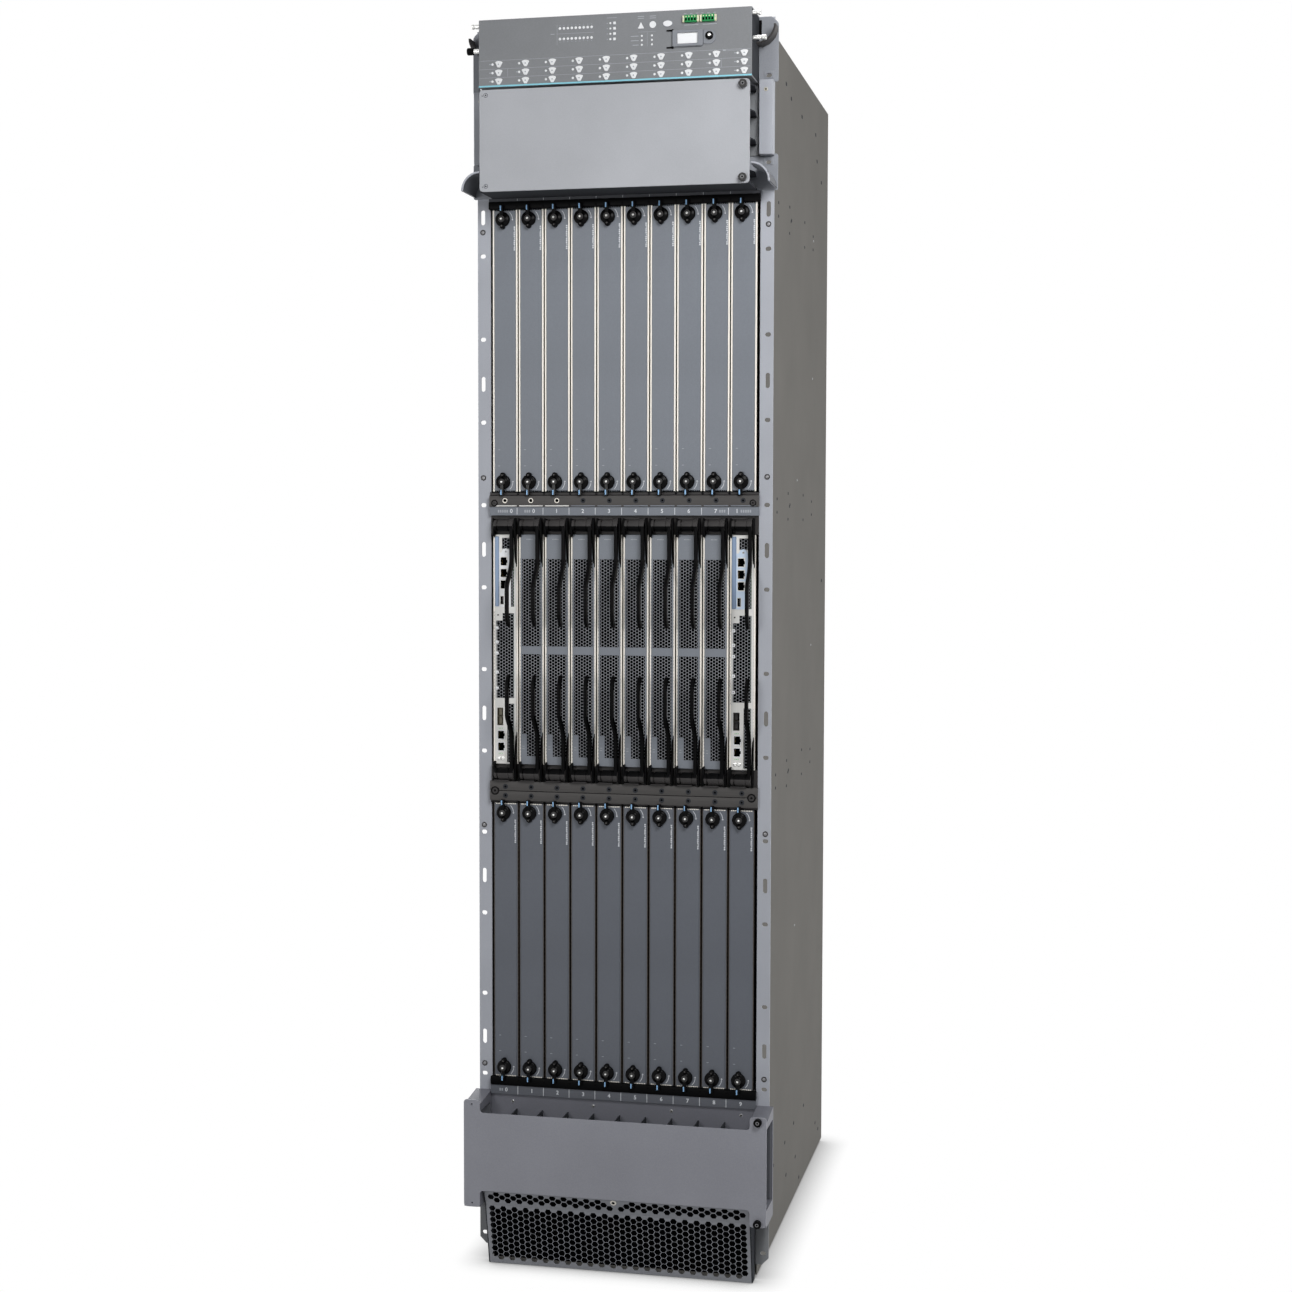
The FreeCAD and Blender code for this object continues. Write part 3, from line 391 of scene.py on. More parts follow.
class Shape:
    """Faces in millimetres, each with the name of its material."""

    def __init__(self):
        self.points = []
        self.faces = []
        self.finishes = []

    def add(self, points, faces, finish):
        """Points, and the faces between them."""
        base = len(self.points)
        self.points += [tuple(p) for p in points]
        self.faces += [[base + k for k in face] for face in faces]
        self.finishes += [finish] * len(faces)

    def block(self, x0, x1, y0, y1, z0, z1, finish, edge=0.4):
        """Block with chamfered edges."""
        low, high = (x0, y0, z0), (x1, y1, z1)
        index = {}
        points = []
        for corner in product((0, 1), repeat=3):
            for axis in range(3):
                index[corner, axis] = len(points)
                shift = [0 if k == axis else edge - 2 * edge * corner[k] for k in range(3)]
                points.append([(high[k] if corner[k] else low[k]) + shift[k] for k in range(3)])
        faces = [[index[corner, axis] for axis in range(3)] for corner in product((0, 1), repeat=3)]
        for axis in range(3):
            b, c = (axis + 1) % 3, (axis + 2) % 3

            def corner_at(side, at_b, at_c):
                """Corner of the block at one end of the axis."""
                corner = [side] * 3
                corner[b], corner[c] = at_b, at_c
                return tuple(corner)

            for side in (0, 1):
                around = ((0, 0), (1, 0), (1, 1), (0, 1))
                faces.append([index[corner_at(side, *turn), axis] for turn in around])
            for turn in product((0, 1), repeat=2):
                near, far = corner_at(0, *turn), corner_at(1, *turn)
                faces.append([index[near, b], index[near, c], index[far, c], index[far, b]])
        self.add(points, faces, finish)

    def beam(self, half, y0, y1, z0, z1, finish, edge=0.4):
        """Block that reaches as far to the left of the middle as to the right."""
        self.block(-half, half, y0, y1, z0, z1, finish, edge)

    def walls(self, near, far, finish):
        """Band of quads between two closed rings of like length."""
        count = len(near)
        faces = [[k, (k + 1) % count, count + (k + 1) % count, count + k] for k in range(count)]
        self.add(near + far, faces, finish)

    def plate(self, outline, front, back, finish, place=facing_front, holes=(), edge=0.3, closed=True,
              wall=None):
        """Flat sheet with a chamfered front rim and clean holes."""
        step = math.copysign(edge, back - front)
        face = inset(outline, edge)
        loops = [face, *holes]
        self.add([place(a, b, front) for loop in loops for a, b in loop], fill(loops), finish)
        rim = [place(a, b, front + step) for a, b in outline]
        self.walls([place(a, b, front) for a, b in face], rim, finish)
        self.walls(rim, [place(a, b, back) for a, b in outline], finish)
        for hole in holes:
            near = [place(a, b, front) for a, b in hole]
            self.walls(near, [place(a, b, back) for a, b in hole], wall or finish)
        if closed:
            loops = [outline, *holes]
            self.add([place(a, b, back) for loop in loops for a, b in loop], fill(loops), finish)

    def turned(self, profile, centre, direction, finish, sides):
        """Body of revolution from (radius, along) points about an axis through the centre."""
        axis = Vector(direction).normalized()
        across = axis.orthogonal().normalized()
        up = axis.cross(across)
        rings = []
        for radius, along in profile:
            middle = Vector(centre) + axis * along
            rings.append([tuple(middle + across * a + up * b) for a, b in circle(0, 0, radius, sides)])
        for near, far in zip(rings, rings[1:]):
            self.walls(near, far, finish)
        for ring in (rings[0], rings[-1]):
            self.add(ring, [list(range(sides))], finish)

    def stud(self, profile, x, z, y, finish, sides, direction=FORWARD):
        """Turned body that stands on a front face, or backwards on a rear one."""
        self.turned(profile, (x, y, z), direction, finish, sides)

    def mark(self, outline, depth, finish, place=facing_front):
        """Flat printed mark."""
        self.add([place(a, b, depth) for a, b in outline], [list(range(len(outline)))], finish)

    def number(self, text, x, z, y, tall, finish):
        """Printed number, centred on a point of a front face."""
        curve = bpy.data.curves.new("number", "FONT")
        curve.body = text
        curve.size = tall / 0.7
        curve.offset = tall * 0.03
        curve.align_x = "CENTER"
        curve.align_y = "CENTER"
        curve.resolution_u = 3
        holder = bpy.data.objects.new("number", curve)
        flat = bpy.data.meshes.new_from_object(holder)
        points = [(x + v.co.x, y, z + v.co.y) for v in flat.vertices]
        self.add(points, [list(p.vertices) for p in flat.polygons], finish)
        bpy.data.objects.remove(holder)
        bpy.data.curves.remove(curve)
        bpy.data.meshes.remove(flat)

    def mesh(self, name):
        """Blender mesh of the shape, in metres, smooth across shallow edges."""
        mesh = bpy.data.meshes.new(name)
        mesh.from_pydata([Vector(p) * MM for p in self.points], [], self.faces)
        names = sorted(set(self.finishes))
        for finish in names:
            mesh.materials.append(materials[finish])
        mesh.polygons.foreach_set("material_index", [names.index(finish) for finish in self.finishes])
        work = bmesh.new()
        work.from_mesh(mesh)
        bmesh.ops.remove_doubles(work, verts=work.verts, dist=1e-6)
        bmesh.ops.recalc_face_normals(work, faces=work.faces)
        work.to_mesh(mesh)
        work.free()
        mesh.shade_smooth()
        mesh.set_sharp_from_angle(angle=math.radians(38))
        return mesh


def put(name, mesh, body, replaced, place=(0, 0, 0)):
    """Piece of the object that rides on a body and stands for a CAD node."""
    piece = bpy.data.objects.new(name, mesh)
    piece.location = Vector(place) * MM
    bpy.context.scene.collection.objects.link(piece)
    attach(piece, body)
    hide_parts(replaced)


def put_fixed(name, shape, node):
    """Piece that stays with the chassis."""
    put(name, shape.mesh(name), "chassis", node)


def put_in_slot(kind, index, mesh, y, z):
    """Copy of a mesh for one slot, on the body of its own."""
    node = "%s_%02d" % (kind, index + 1)
    put(node + "_dressed", mesh, node, node, (slot_x(index), y, z))


def slot_x(index):
    """Centre line of a slot, read from the frame."""
    low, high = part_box("upper_card_%02d" % (index + 1))
    return (low.x + high.x) / 2 / MM


def slot_edge(index):
    """Left edge of a slot."""
    return slot_x(0) - SLOT_PITCH / 2 + index * SLOT_PITCH


def slot_lines():
    """Lines between neighbouring slots."""
    return [slot_edge(index) for index in range(1, SLOT_COUNT)]


def cap_screw(shape, x, z, y, radius, finish, rise):
    """Round screw head with a sunk hexagon socket, on a front face."""
    profile = ((radius, 0), (radius, rise * 0.6), (radius * 0.86, rise), (radius * 0.5, rise),
               (radius * 0.46, rise * 0.3))
    shape.stud(profile, x, z, y, finish, 16)
    shape.mark(circle(x, z, radius * 0.47, 6), y - rise * 0.35, "dark")


def thumbscrew(shape, x, z, y, finish):
    """Captive thumbscrew with a knurled rim and a socket."""
    radius, rise, teeth = 6.5, 8.6, 20
    shape.stud(((radius * 0.8, 0), (radius * 0.8, rise * 0.18)), x, z, y, finish, 20)
    rim = []
    for k in range(2 * teeth):
        t = math.pi * k / teeth
        reach = radius * (1.0 if k % 2 else 0.94)
        rim.append((x + reach * math.cos(t), z + reach * math.sin(t)))
    shape.plate(rim, y - rise, y - rise * 0.18, finish, edge=radius * 0.12)
    ring = ((radius * 0.42, 0), (radius * 0.42, 0.25), (radius * 0.3, 0.25), (radius * 0.3, 0.05))
    shape.stud(ring, x, z, y - rise, "screw", 16)
    shape.mark(circle(x, z, radius * 0.28, 6), y - rise - 0.12, "dark")


def rivet(shape, x, y, z, direction, radius=2.2, finish="wall"):
    """Flat dome of a rivet."""
    dome = ((radius, 0), (radius * 0.9, 0.45), (radius * 0.5, 0.75), (radius * 0.2, 0.82))
    shape.turned(dome, (x, y, z), direction, finish, 12)


def rack_hole_levels():
    """Heights of the oval rack holes, from the top down."""
    return [RACK_HOLE_TOP - k * RACK_HOLE_PITCH for k in range(RACK_HOLE_COUNT)]


def rack_holes(side):
    """Oval rack holes of one side, from the top down."""
    return [oval(side * RACK_HOLE_X, z, 9.3, 6.8) for z in rack_hole_levels()]


def flange(shape, side):
    """Rack ear with its holes; the foot is cut back, and below the cover it is painted darker as painted
    shade.
    """
    cut = 11
    foot = [(FLANGE_INNER, FLANGE_FOOT_Z), (HALF_FLANGE - cut, FLANGE_FOOT_Z),
            (HALF_FLANGE, FLANGE_FOOT_Z + cut), (HALF_FLANGE, FLANGE_FOOT_TOP),
            (FLANGE_INNER, FLANGE_FOOT_TOP)]
    ear = rectangle(FLANGE_INNER, HALF_FLANGE, FLANGE_FOOT_TOP, CRAFT_TOP)
    holes = rack_holes(side)
    slots = [oval(side * RACK_HOLE_X, z + LONG_SLOT_RISE, 7.2, 24) for z in rack_hole_levels()[2:-1:2]]
    # The foot takes the darker craft paint as painted shade from the cover above.
    for outline, finish, openings in ((ear, "flange", holes[:-1] + slots), (foot, "craft", holes[-1:])):
        shape.plate([(side * x, z) for x, z in outline], 0, FLANGE_BACK, finish, holes=openings, edge=0.4)


def wall_fixings(shape, side):
    """Dark slots in the side wall at the shelves, near the foot and elsewhere, and a few bright rivets."""
    around = ((168, 11), (290, 22), (471, 22), (580, 12))
    at_shelves = []
    for level in (784, 1243, 1728):
        at_shelves += [(y, level + turn * rise) for y, rise in around for turn in BOTH_SIDES]
        at_shelves += [(306, level), (312, level + 3)]
    near_foot = ((166, 134), (295, 136), (400, 141), (524, 139), (311, 74), (423, 73), (685, 61), (726, 38),
                 (469, 21))
    single = ((244, 1947), (301, 1934), (429, 1928), (605, 1929), (626, 1884), (687, 1855), (725, 1106))
    face = span(side, HALF_BODY - 0.1, HALF_BODY + 0.15)
    for centres, length, tall in ((at_shelves, 9, 5), (near_foot, 10, 6), (single, 13, 6.5)):
        for y, z in centres:
            shape.plate(oval(y, z, length, tall, 12), *face, "shelf", facing_side, edge=0.05)
    for y, z in ((582, 1481), (395, 1290), (584, 1732), (582, 990), (395, 500)):
        rivet(shape, side * HALF_BODY, y, z, (side, 0, 0), 2.0, "zinc")


def chassis_shell():
    """Side walls, flanges, plinth, floor, roof, front closure and cage shelves."""
    shape = Shape()
    sheet, plinth = 2, 5
    for side in BOTH_SIDES:
        shape.block(*span(side, HALF_INNER, HALF_BODY), FLANGE_BACK, REAR_FACE, plinth, HEIGHT, "wall", 0.5)
        flange(shape, side)
        wall_fixings(shape, side)
        for z in (1680, 1286, 720, 325):
            shape.stud(((4.5, 0), (4.5, 0.5), (3.2, 0.6)), side * RACK_HOLE_X, z, 0, "rail", 18)
            rivet(shape, side * RACK_HOLE_X, -0.4, z, FORWARD, 3.0, "screw")
        for z in range(120, 1960, 230):
            rivet(shape, side * HALF_BODY, 764, z, (side, 0, 0))
    shape.beam(HALF_PLINTH, -20, REAR_FACE - 10, 0, plinth, "wall")
    for z in (plinth, HEIGHT - sheet):
        shape.beam(HALF_INNER, FLANGE_BACK, REAR_FACE, z, z + sheet, "wall")
    for x in range(-200, 201, 50):
        for y in (14, 390, 766):
            rivet(shape, x, y, HEIGHT - 0.85, (0, 0, 1), 2.0)
    shape.beam(HALF_INNER, FLANGE_BACK, FLANGE_BACK + sheet, TICK_STRIP_Z, HEIGHT - sheet, "shelf")
    for z in (LOWER_CARDS_Z - sheet, LOWER_LIP_Z, BOARDS_Z - sheet, BOARDS_TOP, UPPER_CARDS_Z - sheet,
              TOP_RAIL_Z):
        shape.beam(HALF_INNER, FLANGE_BACK, MIDPLANE, z, z + sheet, "shelf", 0.2)
    put_fixed("chassis_shell", shape, "chassis_frame")


def bar_screws(shape, z, radius, ringed=0):
    """Row of screws along a bar, one to a slot; the first few have bright rings."""
    for index in range(SLOT_COUNT):
        x = slot_x(index) + 1
        if index < ringed:
            profile = ((radius, 0), (radius, 0.8), (radius * 0.76, 0.8), (radius * 0.74, 0.2))
            finish, socket_share = "nickel", 0.7
        else:
            profile = ((radius, 0), (radius * 0.92, 0.8), (radius * 0.45, 0.8), (radius * 0.4, 0.2))
            finish, socket_share = "shelf", 0.44
        shape.stud(profile, x, z, BAR_FRONT, finish, 18)
        shape.mark(circle(x, z, radius * socket_share, 12), BAR_FRONT - 0.25, "dark")


def number_strip(shape, z0, z1, finish, margin, numbers):
    """Grey strip with ticks between the slots and numbers; a word beside a number is a row of bars."""
    shape.beam(HALF_BAR, NUMBER_FRONT, 0, z0, z1, finish, 0.3)
    middle = (z0 + z1) / 2
    front = NUMBER_FRONT - PRINT_RISE
    for x in slot_lines():
        shape.mark(rectangle(x - 1.5, x - 0.6, z0 + margin, z1 - margin), front, "ink")
    for index, text, shift, bars in numbers:
        x = slot_x(index) + shift
        shape.number(text, x, middle, front, 6.2, "ink")
        for k in range(abs(bars)):
            at = x + math.copysign(7 + k * 3.6, bars)
            shape.mark(rectangle(at - 1.2, at + 1.2, middle - 2.2, middle + 2.2), front, "faint_ink")


def bar(shape, z0, z1, finish="bar"):
    """Bar across the cages with softened long edges."""
    section = rounded([(0, z0), (BAR_FRONT, z0), (BAR_FRONT, z1), (0, z1)], 1.2, 2)
    shape.plate(section, -HALF_BAR, HALF_BAR, finish, facing_side, edge=0.5)


def lip(shape, z0, z1):
    """Thin lip behind the knob stems, with a dark groove along both edges."""
    groove = 1.1
    shape.beam(HALF_BAR, LIP_FRONT, 0, z0, z1, "rail", 0.3)
    for z in (z0, z1 - groove):
        shape.beam(HALF_BAR, LIP_FRONT - 0.3, LIP_FRONT + 1, z, z + groove, "dark", 0.2)


def rail_studs(shape, z, y):
    """Small studs on the lines between the slots."""
    for x in slot_lines():
        shape.stud(((1.9, 0), (1.9, 0.7), (1.2, 1.0), (0.8, 0.6)), x, z, y, "gloss", 12)


def tongue(shape, z0, z1):
    """Back of a rail group, between the flanges."""
    shape.beam(FLANGE_INNER, 0, FLANGE_BACK, z0, z1, "rail", 0.2)


def ejector_rails():
    """Black bars, number strips and lips above and below the three cages."""
    shape = Shape()
    bar(shape, BOTTOM_RAIL_Z, LOWER_CARDS_Z, "black")
    number_strip(shape, LOWER_STRIP_Z, BOTTOM_RAIL_Z, "strip_low", 0.6,
                 [(k, str(k), 1, 0 if k else -2) for k in range(SLOT_COUNT)])
    rail_studs(shape, LOWER_CARDS_Z - 3.2, BAR_FRONT)
    tongue(shape, LOWER_CARDS_Z - 2, LOWER_CARDS_Z)
    lip(shape, LOWER_LIP_Z, LOWER_BAR_Z)
    rail_studs(shape, LOWER_LIP_Z + 2, LIP_FRONT)
    middle = (LOWER_BAR_Z + LOWER_BAR_TOP) / 2
    bar(shape, LOWER_BAR_Z, middle - 0.3)
    bar(shape, middle + 0.3, LOWER_BAR_TOP)
    shape.beam(HALF_BAR - 1, BAR_FRONT + 0.8, 0, middle - 1, middle + 1, "dark", 0.1)
    for z in (middle - 7.5, middle + 7):
        bar_screws(shape, z, 4.2)
    tongue(shape, LOWER_LIP_Z, BOARDS_Z)
    tongue(shape, BOARDS_TOP, UPPER_CARDS_Z)
    last = SLOT_COUNT - 1
    number_strip(shape, MIDDLE_STRIP_Z, UPPER_BAR_Z, "strip", 1.5,
                 [(0, "0", 11, -5), (1, "0", 5, -3), (last - 1, str(last - 2), 0, 3), (last, "1", -9, 5)]
                 + [(k, str(k - 1), 0, 0) for k in range(2, last - 1)])
    bar(shape, UPPER_BAR_Z, UPPER_LIP_Z)
    ringed = 3
    for k in range(SLOT_COUNT):
        shape.block(slot_edge(k) + 3, slot_edge(k) + SLOT_PITCH - 1, BAR_FRONT - 0.4, BAR_FRONT + 1,
                    UPPER_BAR_Z + 0.6, UPPER_BAR_Z + 2.4, "silver" if k < ringed else "strip", 0.2)
    bar_screws(shape, UPPER_BAR_Z + 10, 4.0, ringed)
    lip(shape, UPPER_LIP_Z, UPPER_CARDS_Z)
    rail_studs(shape, UPPER_LIP_Z + 3.4, LIP_FRONT)
    bar(shape, TOP_RAIL_Z, TICK_STRIP_Z, "black")
    rail_studs(shape, TOP_RAIL_Z + 3, BAR_FRONT)
    shape.beam(HALF_BAR, NUMBER_FRONT, 0, TICK_STRIP_Z, UPPER_TRAY_Z, "tick_strip", 0.3)
    for x in slot_lines():
        tick = rectangle(x - 0.5, x + 0.5, TICK_STRIP_Z + 0.8, UPPER_TRAY_Z - 0.8)
        shape.mark(tick, NUMBER_FRONT - PRINT_RISE, "faint_ink")
    tongue(shape, TOP_RAIL_Z, TOP_RAIL_Z + 2)
    for side in BOTH_SIDES:
        for z, radius in ((middle, 7.0), (UPPER_BAR_Z + 6, 5.5)):
            ring = ((radius, 0), (radius, 0.5), (radius * 0.8, 0.9), (radius * 0.7, 0.4))
            head = ((radius * 0.72, 0), (radius * 0.66, 0.7), (radius * 0.3, 0.8), (radius * 0.26, 0.3))
            for profile, finish in ((ring, "gloss"), (head, "rail")):
                shape.stud(profile, side * (HALF_BAR - 9), z, BAR_FRONT, finish, 24)
    put_fixed("ejector_rails_dressed", shape, "ejector_rails")


def contact_strips(shape, height, finish, fingers="gasket"):
    """Folded metal edges of a faceplate, each with a set-back row of spring fingers outside it."""
    back, margin, pitch, finger = 9.2, 0.5, 7.5, 5.0
    for side in BOTH_SIDES:
        strip = span(side, PANEL_HALF, FACE_HALF - 0.5)
        shape.block(*strip, STRIP_FRONT, back, margin, height - margin, finish, 0.4)
        fold = span(side, FACE_HALF - 0.6, FACE_HALF - 0.05)
        shape.block(*fold, STRIP_FRONT + 2.2, back, margin, height - margin, "dark", 0.2)
        for k in range(int((height - 12) // pitch)):
            z = 8 + k * pitch
            shape.block(*fold, STRIP_FRONT + 0.8, 6, z, z + finger, fingers, 0.2)


def knob(shape, z, towards):
    """Round black knob with a domed hub and a tail nub, on a stem with a blue stripe."""
    disc = ((11.2, 0), (11.8, 0.7), (11.8, 3.8), (11.3, 5.0), (10.0, 5.8), (8.0, 6.3), (6.2, 7.0),
            (5.2, 8.2))
    shape.stud(disc, KNOB_X, z, PANEL_FRONT, "gloss", 36)
    dome = 16.0
    angles = [0.3 - 0.036 * k for k in range(9)]
    cap = [(dome * math.sin(t), 12.4 - dome * (1 - math.cos(t))) for t in angles]
    # The hub's grey is a painted sheen round its highlight.
    shape.stud([(5.0, 8.0), (5.0, 11.0)] + cap, KNOB_X, z, PANEL_FRONT, "hub", 28)
    pin = ((1.9, 0), (1.8, 0.6), (1.3, 1.1), (0.6, 1.3), (0.1, 1.35))
    shape.stud(pin, KNOB_X, z, PANEL_FRONT - 12.2, "steel", 16)
    nub = ((4.4, 0), (4.4, 5.5), (3.9, 7.4), (2.6, 8.8), (1.0, 9.3))
    tail = z - towards * 11.0
    shape.stud(nub, KNOB_X, tail, PANEL_FRONT, "gloss", 20)
    shape.stud(((1.4, 0), (1.2, 0.3), (0.3, 0.35)), KNOB_X, tail, PANEL_FRONT - 9.1, "bar", 10)
    ends = sorted((z + towards * 4, z + towards * (KNOB_INSET + 6)))
    shape.block(KNOB_X - 3.2, KNOB_X + 3.2, -14.4, -9.6, *ends, "gloss", 0.9)
    ends = sorted((z + towards * 13.0, z + towards * (KNOB_INSET + 4.8)))
    shape.plate(soft_rectangle(KNOB_X - 2.3, KNOB_X - 0.2, *ends, 0.5, 2), -14.6, -14.2, "blue", edge=0.1)
    turn_arrow(shape, KNOB_X, z, towards)


def turn_arrow(shape, x, z, towards):
    """Printed curved arrow round the side of a knob."""
    radius, width, front = 16.2, 0.8, PANEL_FRONT - PRINT_RISE
    inner = radius - width
    arc = [math.radians(a) for a in range(-4, 47, 5)]
    bow = [(x + radius * math.cos(t), z + towards * radius * math.sin(t)) for t in arc]
    bow += [(x + inner * math.cos(t), z + towards * inner * math.sin(t)) for t in reversed(arc)]
    shape.mark(bow, front, "ink")
    tip = [(x + radius - 2.2, z), (x + radius + 1.4, z), (x + radius - 0.2, z - towards * 2)]
    shape.mark(tip, front, "ink")


def components(shape, height):
    """Circuit board with heat sinks, chips, capacitors and rear connectors, behind a faceplate."""
    right = FACE_HALF - 6.15
    left = right - 3.0
    shape.block(left, right, PANEL_BACK, BOARD_END, 0.5, height - 0.5, "circuit", 0.2)
    shape.block(right - 0.2, right + 0.8, 6, BOARD_END - 30, 3, height - 3, "zinc", 0.2)
    rows = int(height // 110)
    pitch = height / rows
    half_sink, chip = 34, 15
    capacitor = ((3.6, 0), (3.6, 9.5), (3.1, 10.2), (0.8, 10.2))
    for row in range(rows):
        z = (row + 0.5) * pitch
        for y in (120, 260):
            ends = (y - half_sink, y + half_sink)
            shape.block(left - 4, left, *ends, z - half_sink, z + half_sink, "sink", 0.4)
            for k in range(9):
                fin = z - 32 + k * 8
                shape.block(left - 22, left - 4, *ends, fin - 0.9, fin + 0.9, "sink", 0.2)
        for k in range(4):
            low = z - 40 + k * 22
            for ends in ((330, 352), (368, 382)):
                shape.block(left - 2.2, left, *ends, low, low + chip, "chip", 0.3)
            shape.turned(capacitor, (left, 410, low + 7), (-1, 0, 0), "steel", 14)
        shape.block(left - 17, left, 508, BOARD_END, z - 44, z + 44, "cream", 0.5)
        for k in range(12):
            pin = z - 38.5 + k * 7
            shape.block(left - 15, left - 2, BOARD_END - 0.4, BOARD_END - 0.05, pin - 1.2, pin + 1.2,
                        "gold", 0.05)


def line_card(name, paint, strip, fingers, ends, paint_half):
    """Line card: painted panel between metal strips, two knobs, printed marks and the circuit board."""
    shape = Shape()
    shape.beam(paint_half, STRIP_FRONT - 0.3, PANEL_BACK, 0.5, CARD_HEIGHT - 0.5, paint, 0.2)
    shape.beam(PANEL_HALF, PANEL_FRONT, PANEL_BACK, 0.5, CARD_HEIGHT - 0.5, paint, 0.5)
    contact_strips(shape, CARD_HEIGHT, strip, fingers)
    top = CARD_HEIGHT - KNOB_INSET
    knob(shape, top, 1)
    knob(shape, KNOB_INSET, -1)
    front = PANEL_FRONT - PRINT_RISE
    print_right = 17.2
    for k in range(13):
        z = top - 12.5 - k * 3.0
        width = 1.5 if k % 4 == 2 else 2.4
        shape.mark(rectangle(print_right - width, print_right, z - 1.0, z + 1.0), front, "ink")
    for z in (KNOB_INSET + 26, KNOB_INSET + 52):
        shape.mark(rectangle(-12.0, -8.5, z - 0.4, z + 0.4), front, "faint_ink")
    for k in range(12):
        left = -PANEL_HALF + 0.8 + k * 2.9
        for z in (0.7, CARD_HEIGHT - 2.3):
            shape.block(left, left + 2.2, PANEL_FRONT - 0.3, PANEL_FRONT + 0.5, z, z + 1.6, ends, 0.15)
    components(shape, CARD_HEIGHT)
    return shape.mesh(name)


def line_cards():
    """Two cages of ten line cards."""
    upper = line_card("line_card_upper", "card", "nickel", "gasket", "dark", PANEL_HALF)
    # The lower cards take shaded copies: darker paint, nickel in painted shade and fingers in painted shadow
    # black.
    lower = line_card("line_card_lower", "card_low", "bronze", "dark", "nickel", PANEL_HALF + 1.5)
    for index in range(SLOT_COUNT):
        put_in_slot("upper_card", index, upper, 0, UPPER_CARDS_Z)
        put_in_slot("lower_card", index, lower, 0, LOWER_CARDS_Z)


def hinge_ears(shape):
    """Black ears and grey bridges that hold the handle barrels at both ends of a board."""
    upper = (BOARD_HEIGHT - 0.5, UPPER_HINGE_Z - BOARDS_Z, 1)
    lower = (0.5, LOWER_HINGE_Z - BOARDS_Z, -1)
    for end, hinge, towards in (upper, lower):
        tip = hinge + towards * 12.2
        for x, drop in ((-19.3, 5), (16.3, 56)):
            outline = [(-2, end - towards * drop), (-13, end - towards * 3), (-13, tip), (-4, tip),
                       (-2, end)]
            shape.plate(rounded(outline, 2.0, 2), x, x + 3, "black", facing_side, edge=0.4)
        levels = sorted((hinge + towards * 10.8, hinge + towards * 12.4))
        shape.block(-16.5, 7.5, -14, -5, *levels, "rail", 0.3)


def honeycomb(shape, a0, a1, b0, b1):
    """Sheet of close hexagon cells in upright columns, each with its hole and the hole's wall."""
    pitch, across, sheet = 5.2, 4.4, 0.5
    front = PANEL_FRONT + 0.5
    for b, a in hexagon_centres(b0, b1, a0, a1, pitch):
        cell = [(x, front, z) for z, x in hexagon(b, a, pitch)]
        hole = hexagon(b, a, across)
        rim = [(x, front, z) for z, x in hole]
        shape.walls(cell, rim, "web")
        shape.walls(rim, [(x, front + sheet, z) for z, x in hole], "dark")


def fabric_board():
    """Fabric board: plain head, two perforated fields parted by a band, and a foot with a plain corner."""
    shape = Shape()
    low, high = 0.5, BOARD_HEIGHT - 0.5
    front = PANEL_FRONT - PRINT_RISE
    upper = rectangle(-15.5, 15.5, 193, 334)
    lower = [(-7.5, 14), (15.5, 14), (15.5, 180), (-15.5, 180), (-15.5, 50), (-7.5, 50)]
    sheet = rectangle(-PANEL_HALF, PANEL_HALF, low, high)
    shape.plate(sheet, PANEL_FRONT, -2.8, "board", holes=[upper, lower], edge=0.4, closed=False)
    for bottom, top in ((13, 181), (192, 335)):
        honeycomb(shape, -17, 17, bottom, top)
    shape.beam(PANEL_HALF, -2.6, PANEL_BACK, low, high, "dark", 0.2)
    contact_strips(shape, BOARD_HEIGHT, "nickel")
    for k in range(5):
        shape.mark(rectangle(-8 + k * 2.2, -6.6 + k * 2.2, high - 8.4, high - 7.0), front, "faint_ink")
    for z in (26, 30):
        shape.mark(rectangle(-15.0, -11.5, z - 0.4, z + 0.4), front, "faint_ink")
    hinge_ears(shape)
    components(shape, BOARD_HEIGHT)
    return shape.mesh("fabric_board")


def socket(shape, mouth, rim, front, finish, inside):
    """Framed opening of a socket, with its walls and a dark end."""
    shape.plate(rim, front, 11.8, finish, holes=[mouth], edge=0.3, closed=False, wall=inside)
    shape.mark(mouth, 11.6, "dark")


def jack(shape, x, z, bezel):
    """Network socket with a latch notch at the right and gold contacts inside."""
    left, right, tall, notch = x - 5.6, x + 4.0, 6.4, 2.4
    mouth = [(left, z - tall), (right, z - tall), (right, z - notch), (right + 1.4, z - notch),
             (right + 1.4, z + notch), (right, z + notch), (right, z + tall), (left, z + tall)]
    rim = soft_rectangle(left - 0.9, right + 2.2, z - tall - 1.6, z + tall + 1.6, 1.2, 3)
    socket(shape, mouth, rim, PANEL_FRONT - 0.6, bezel, "dark")
    for k in range(8):
        pin = z - 3.85 + k * 1.1
        shape.block(left + 0.1, left + 0.8, 2, 11, pin - 0.25, pin + 0.25, "gold", 0.05)


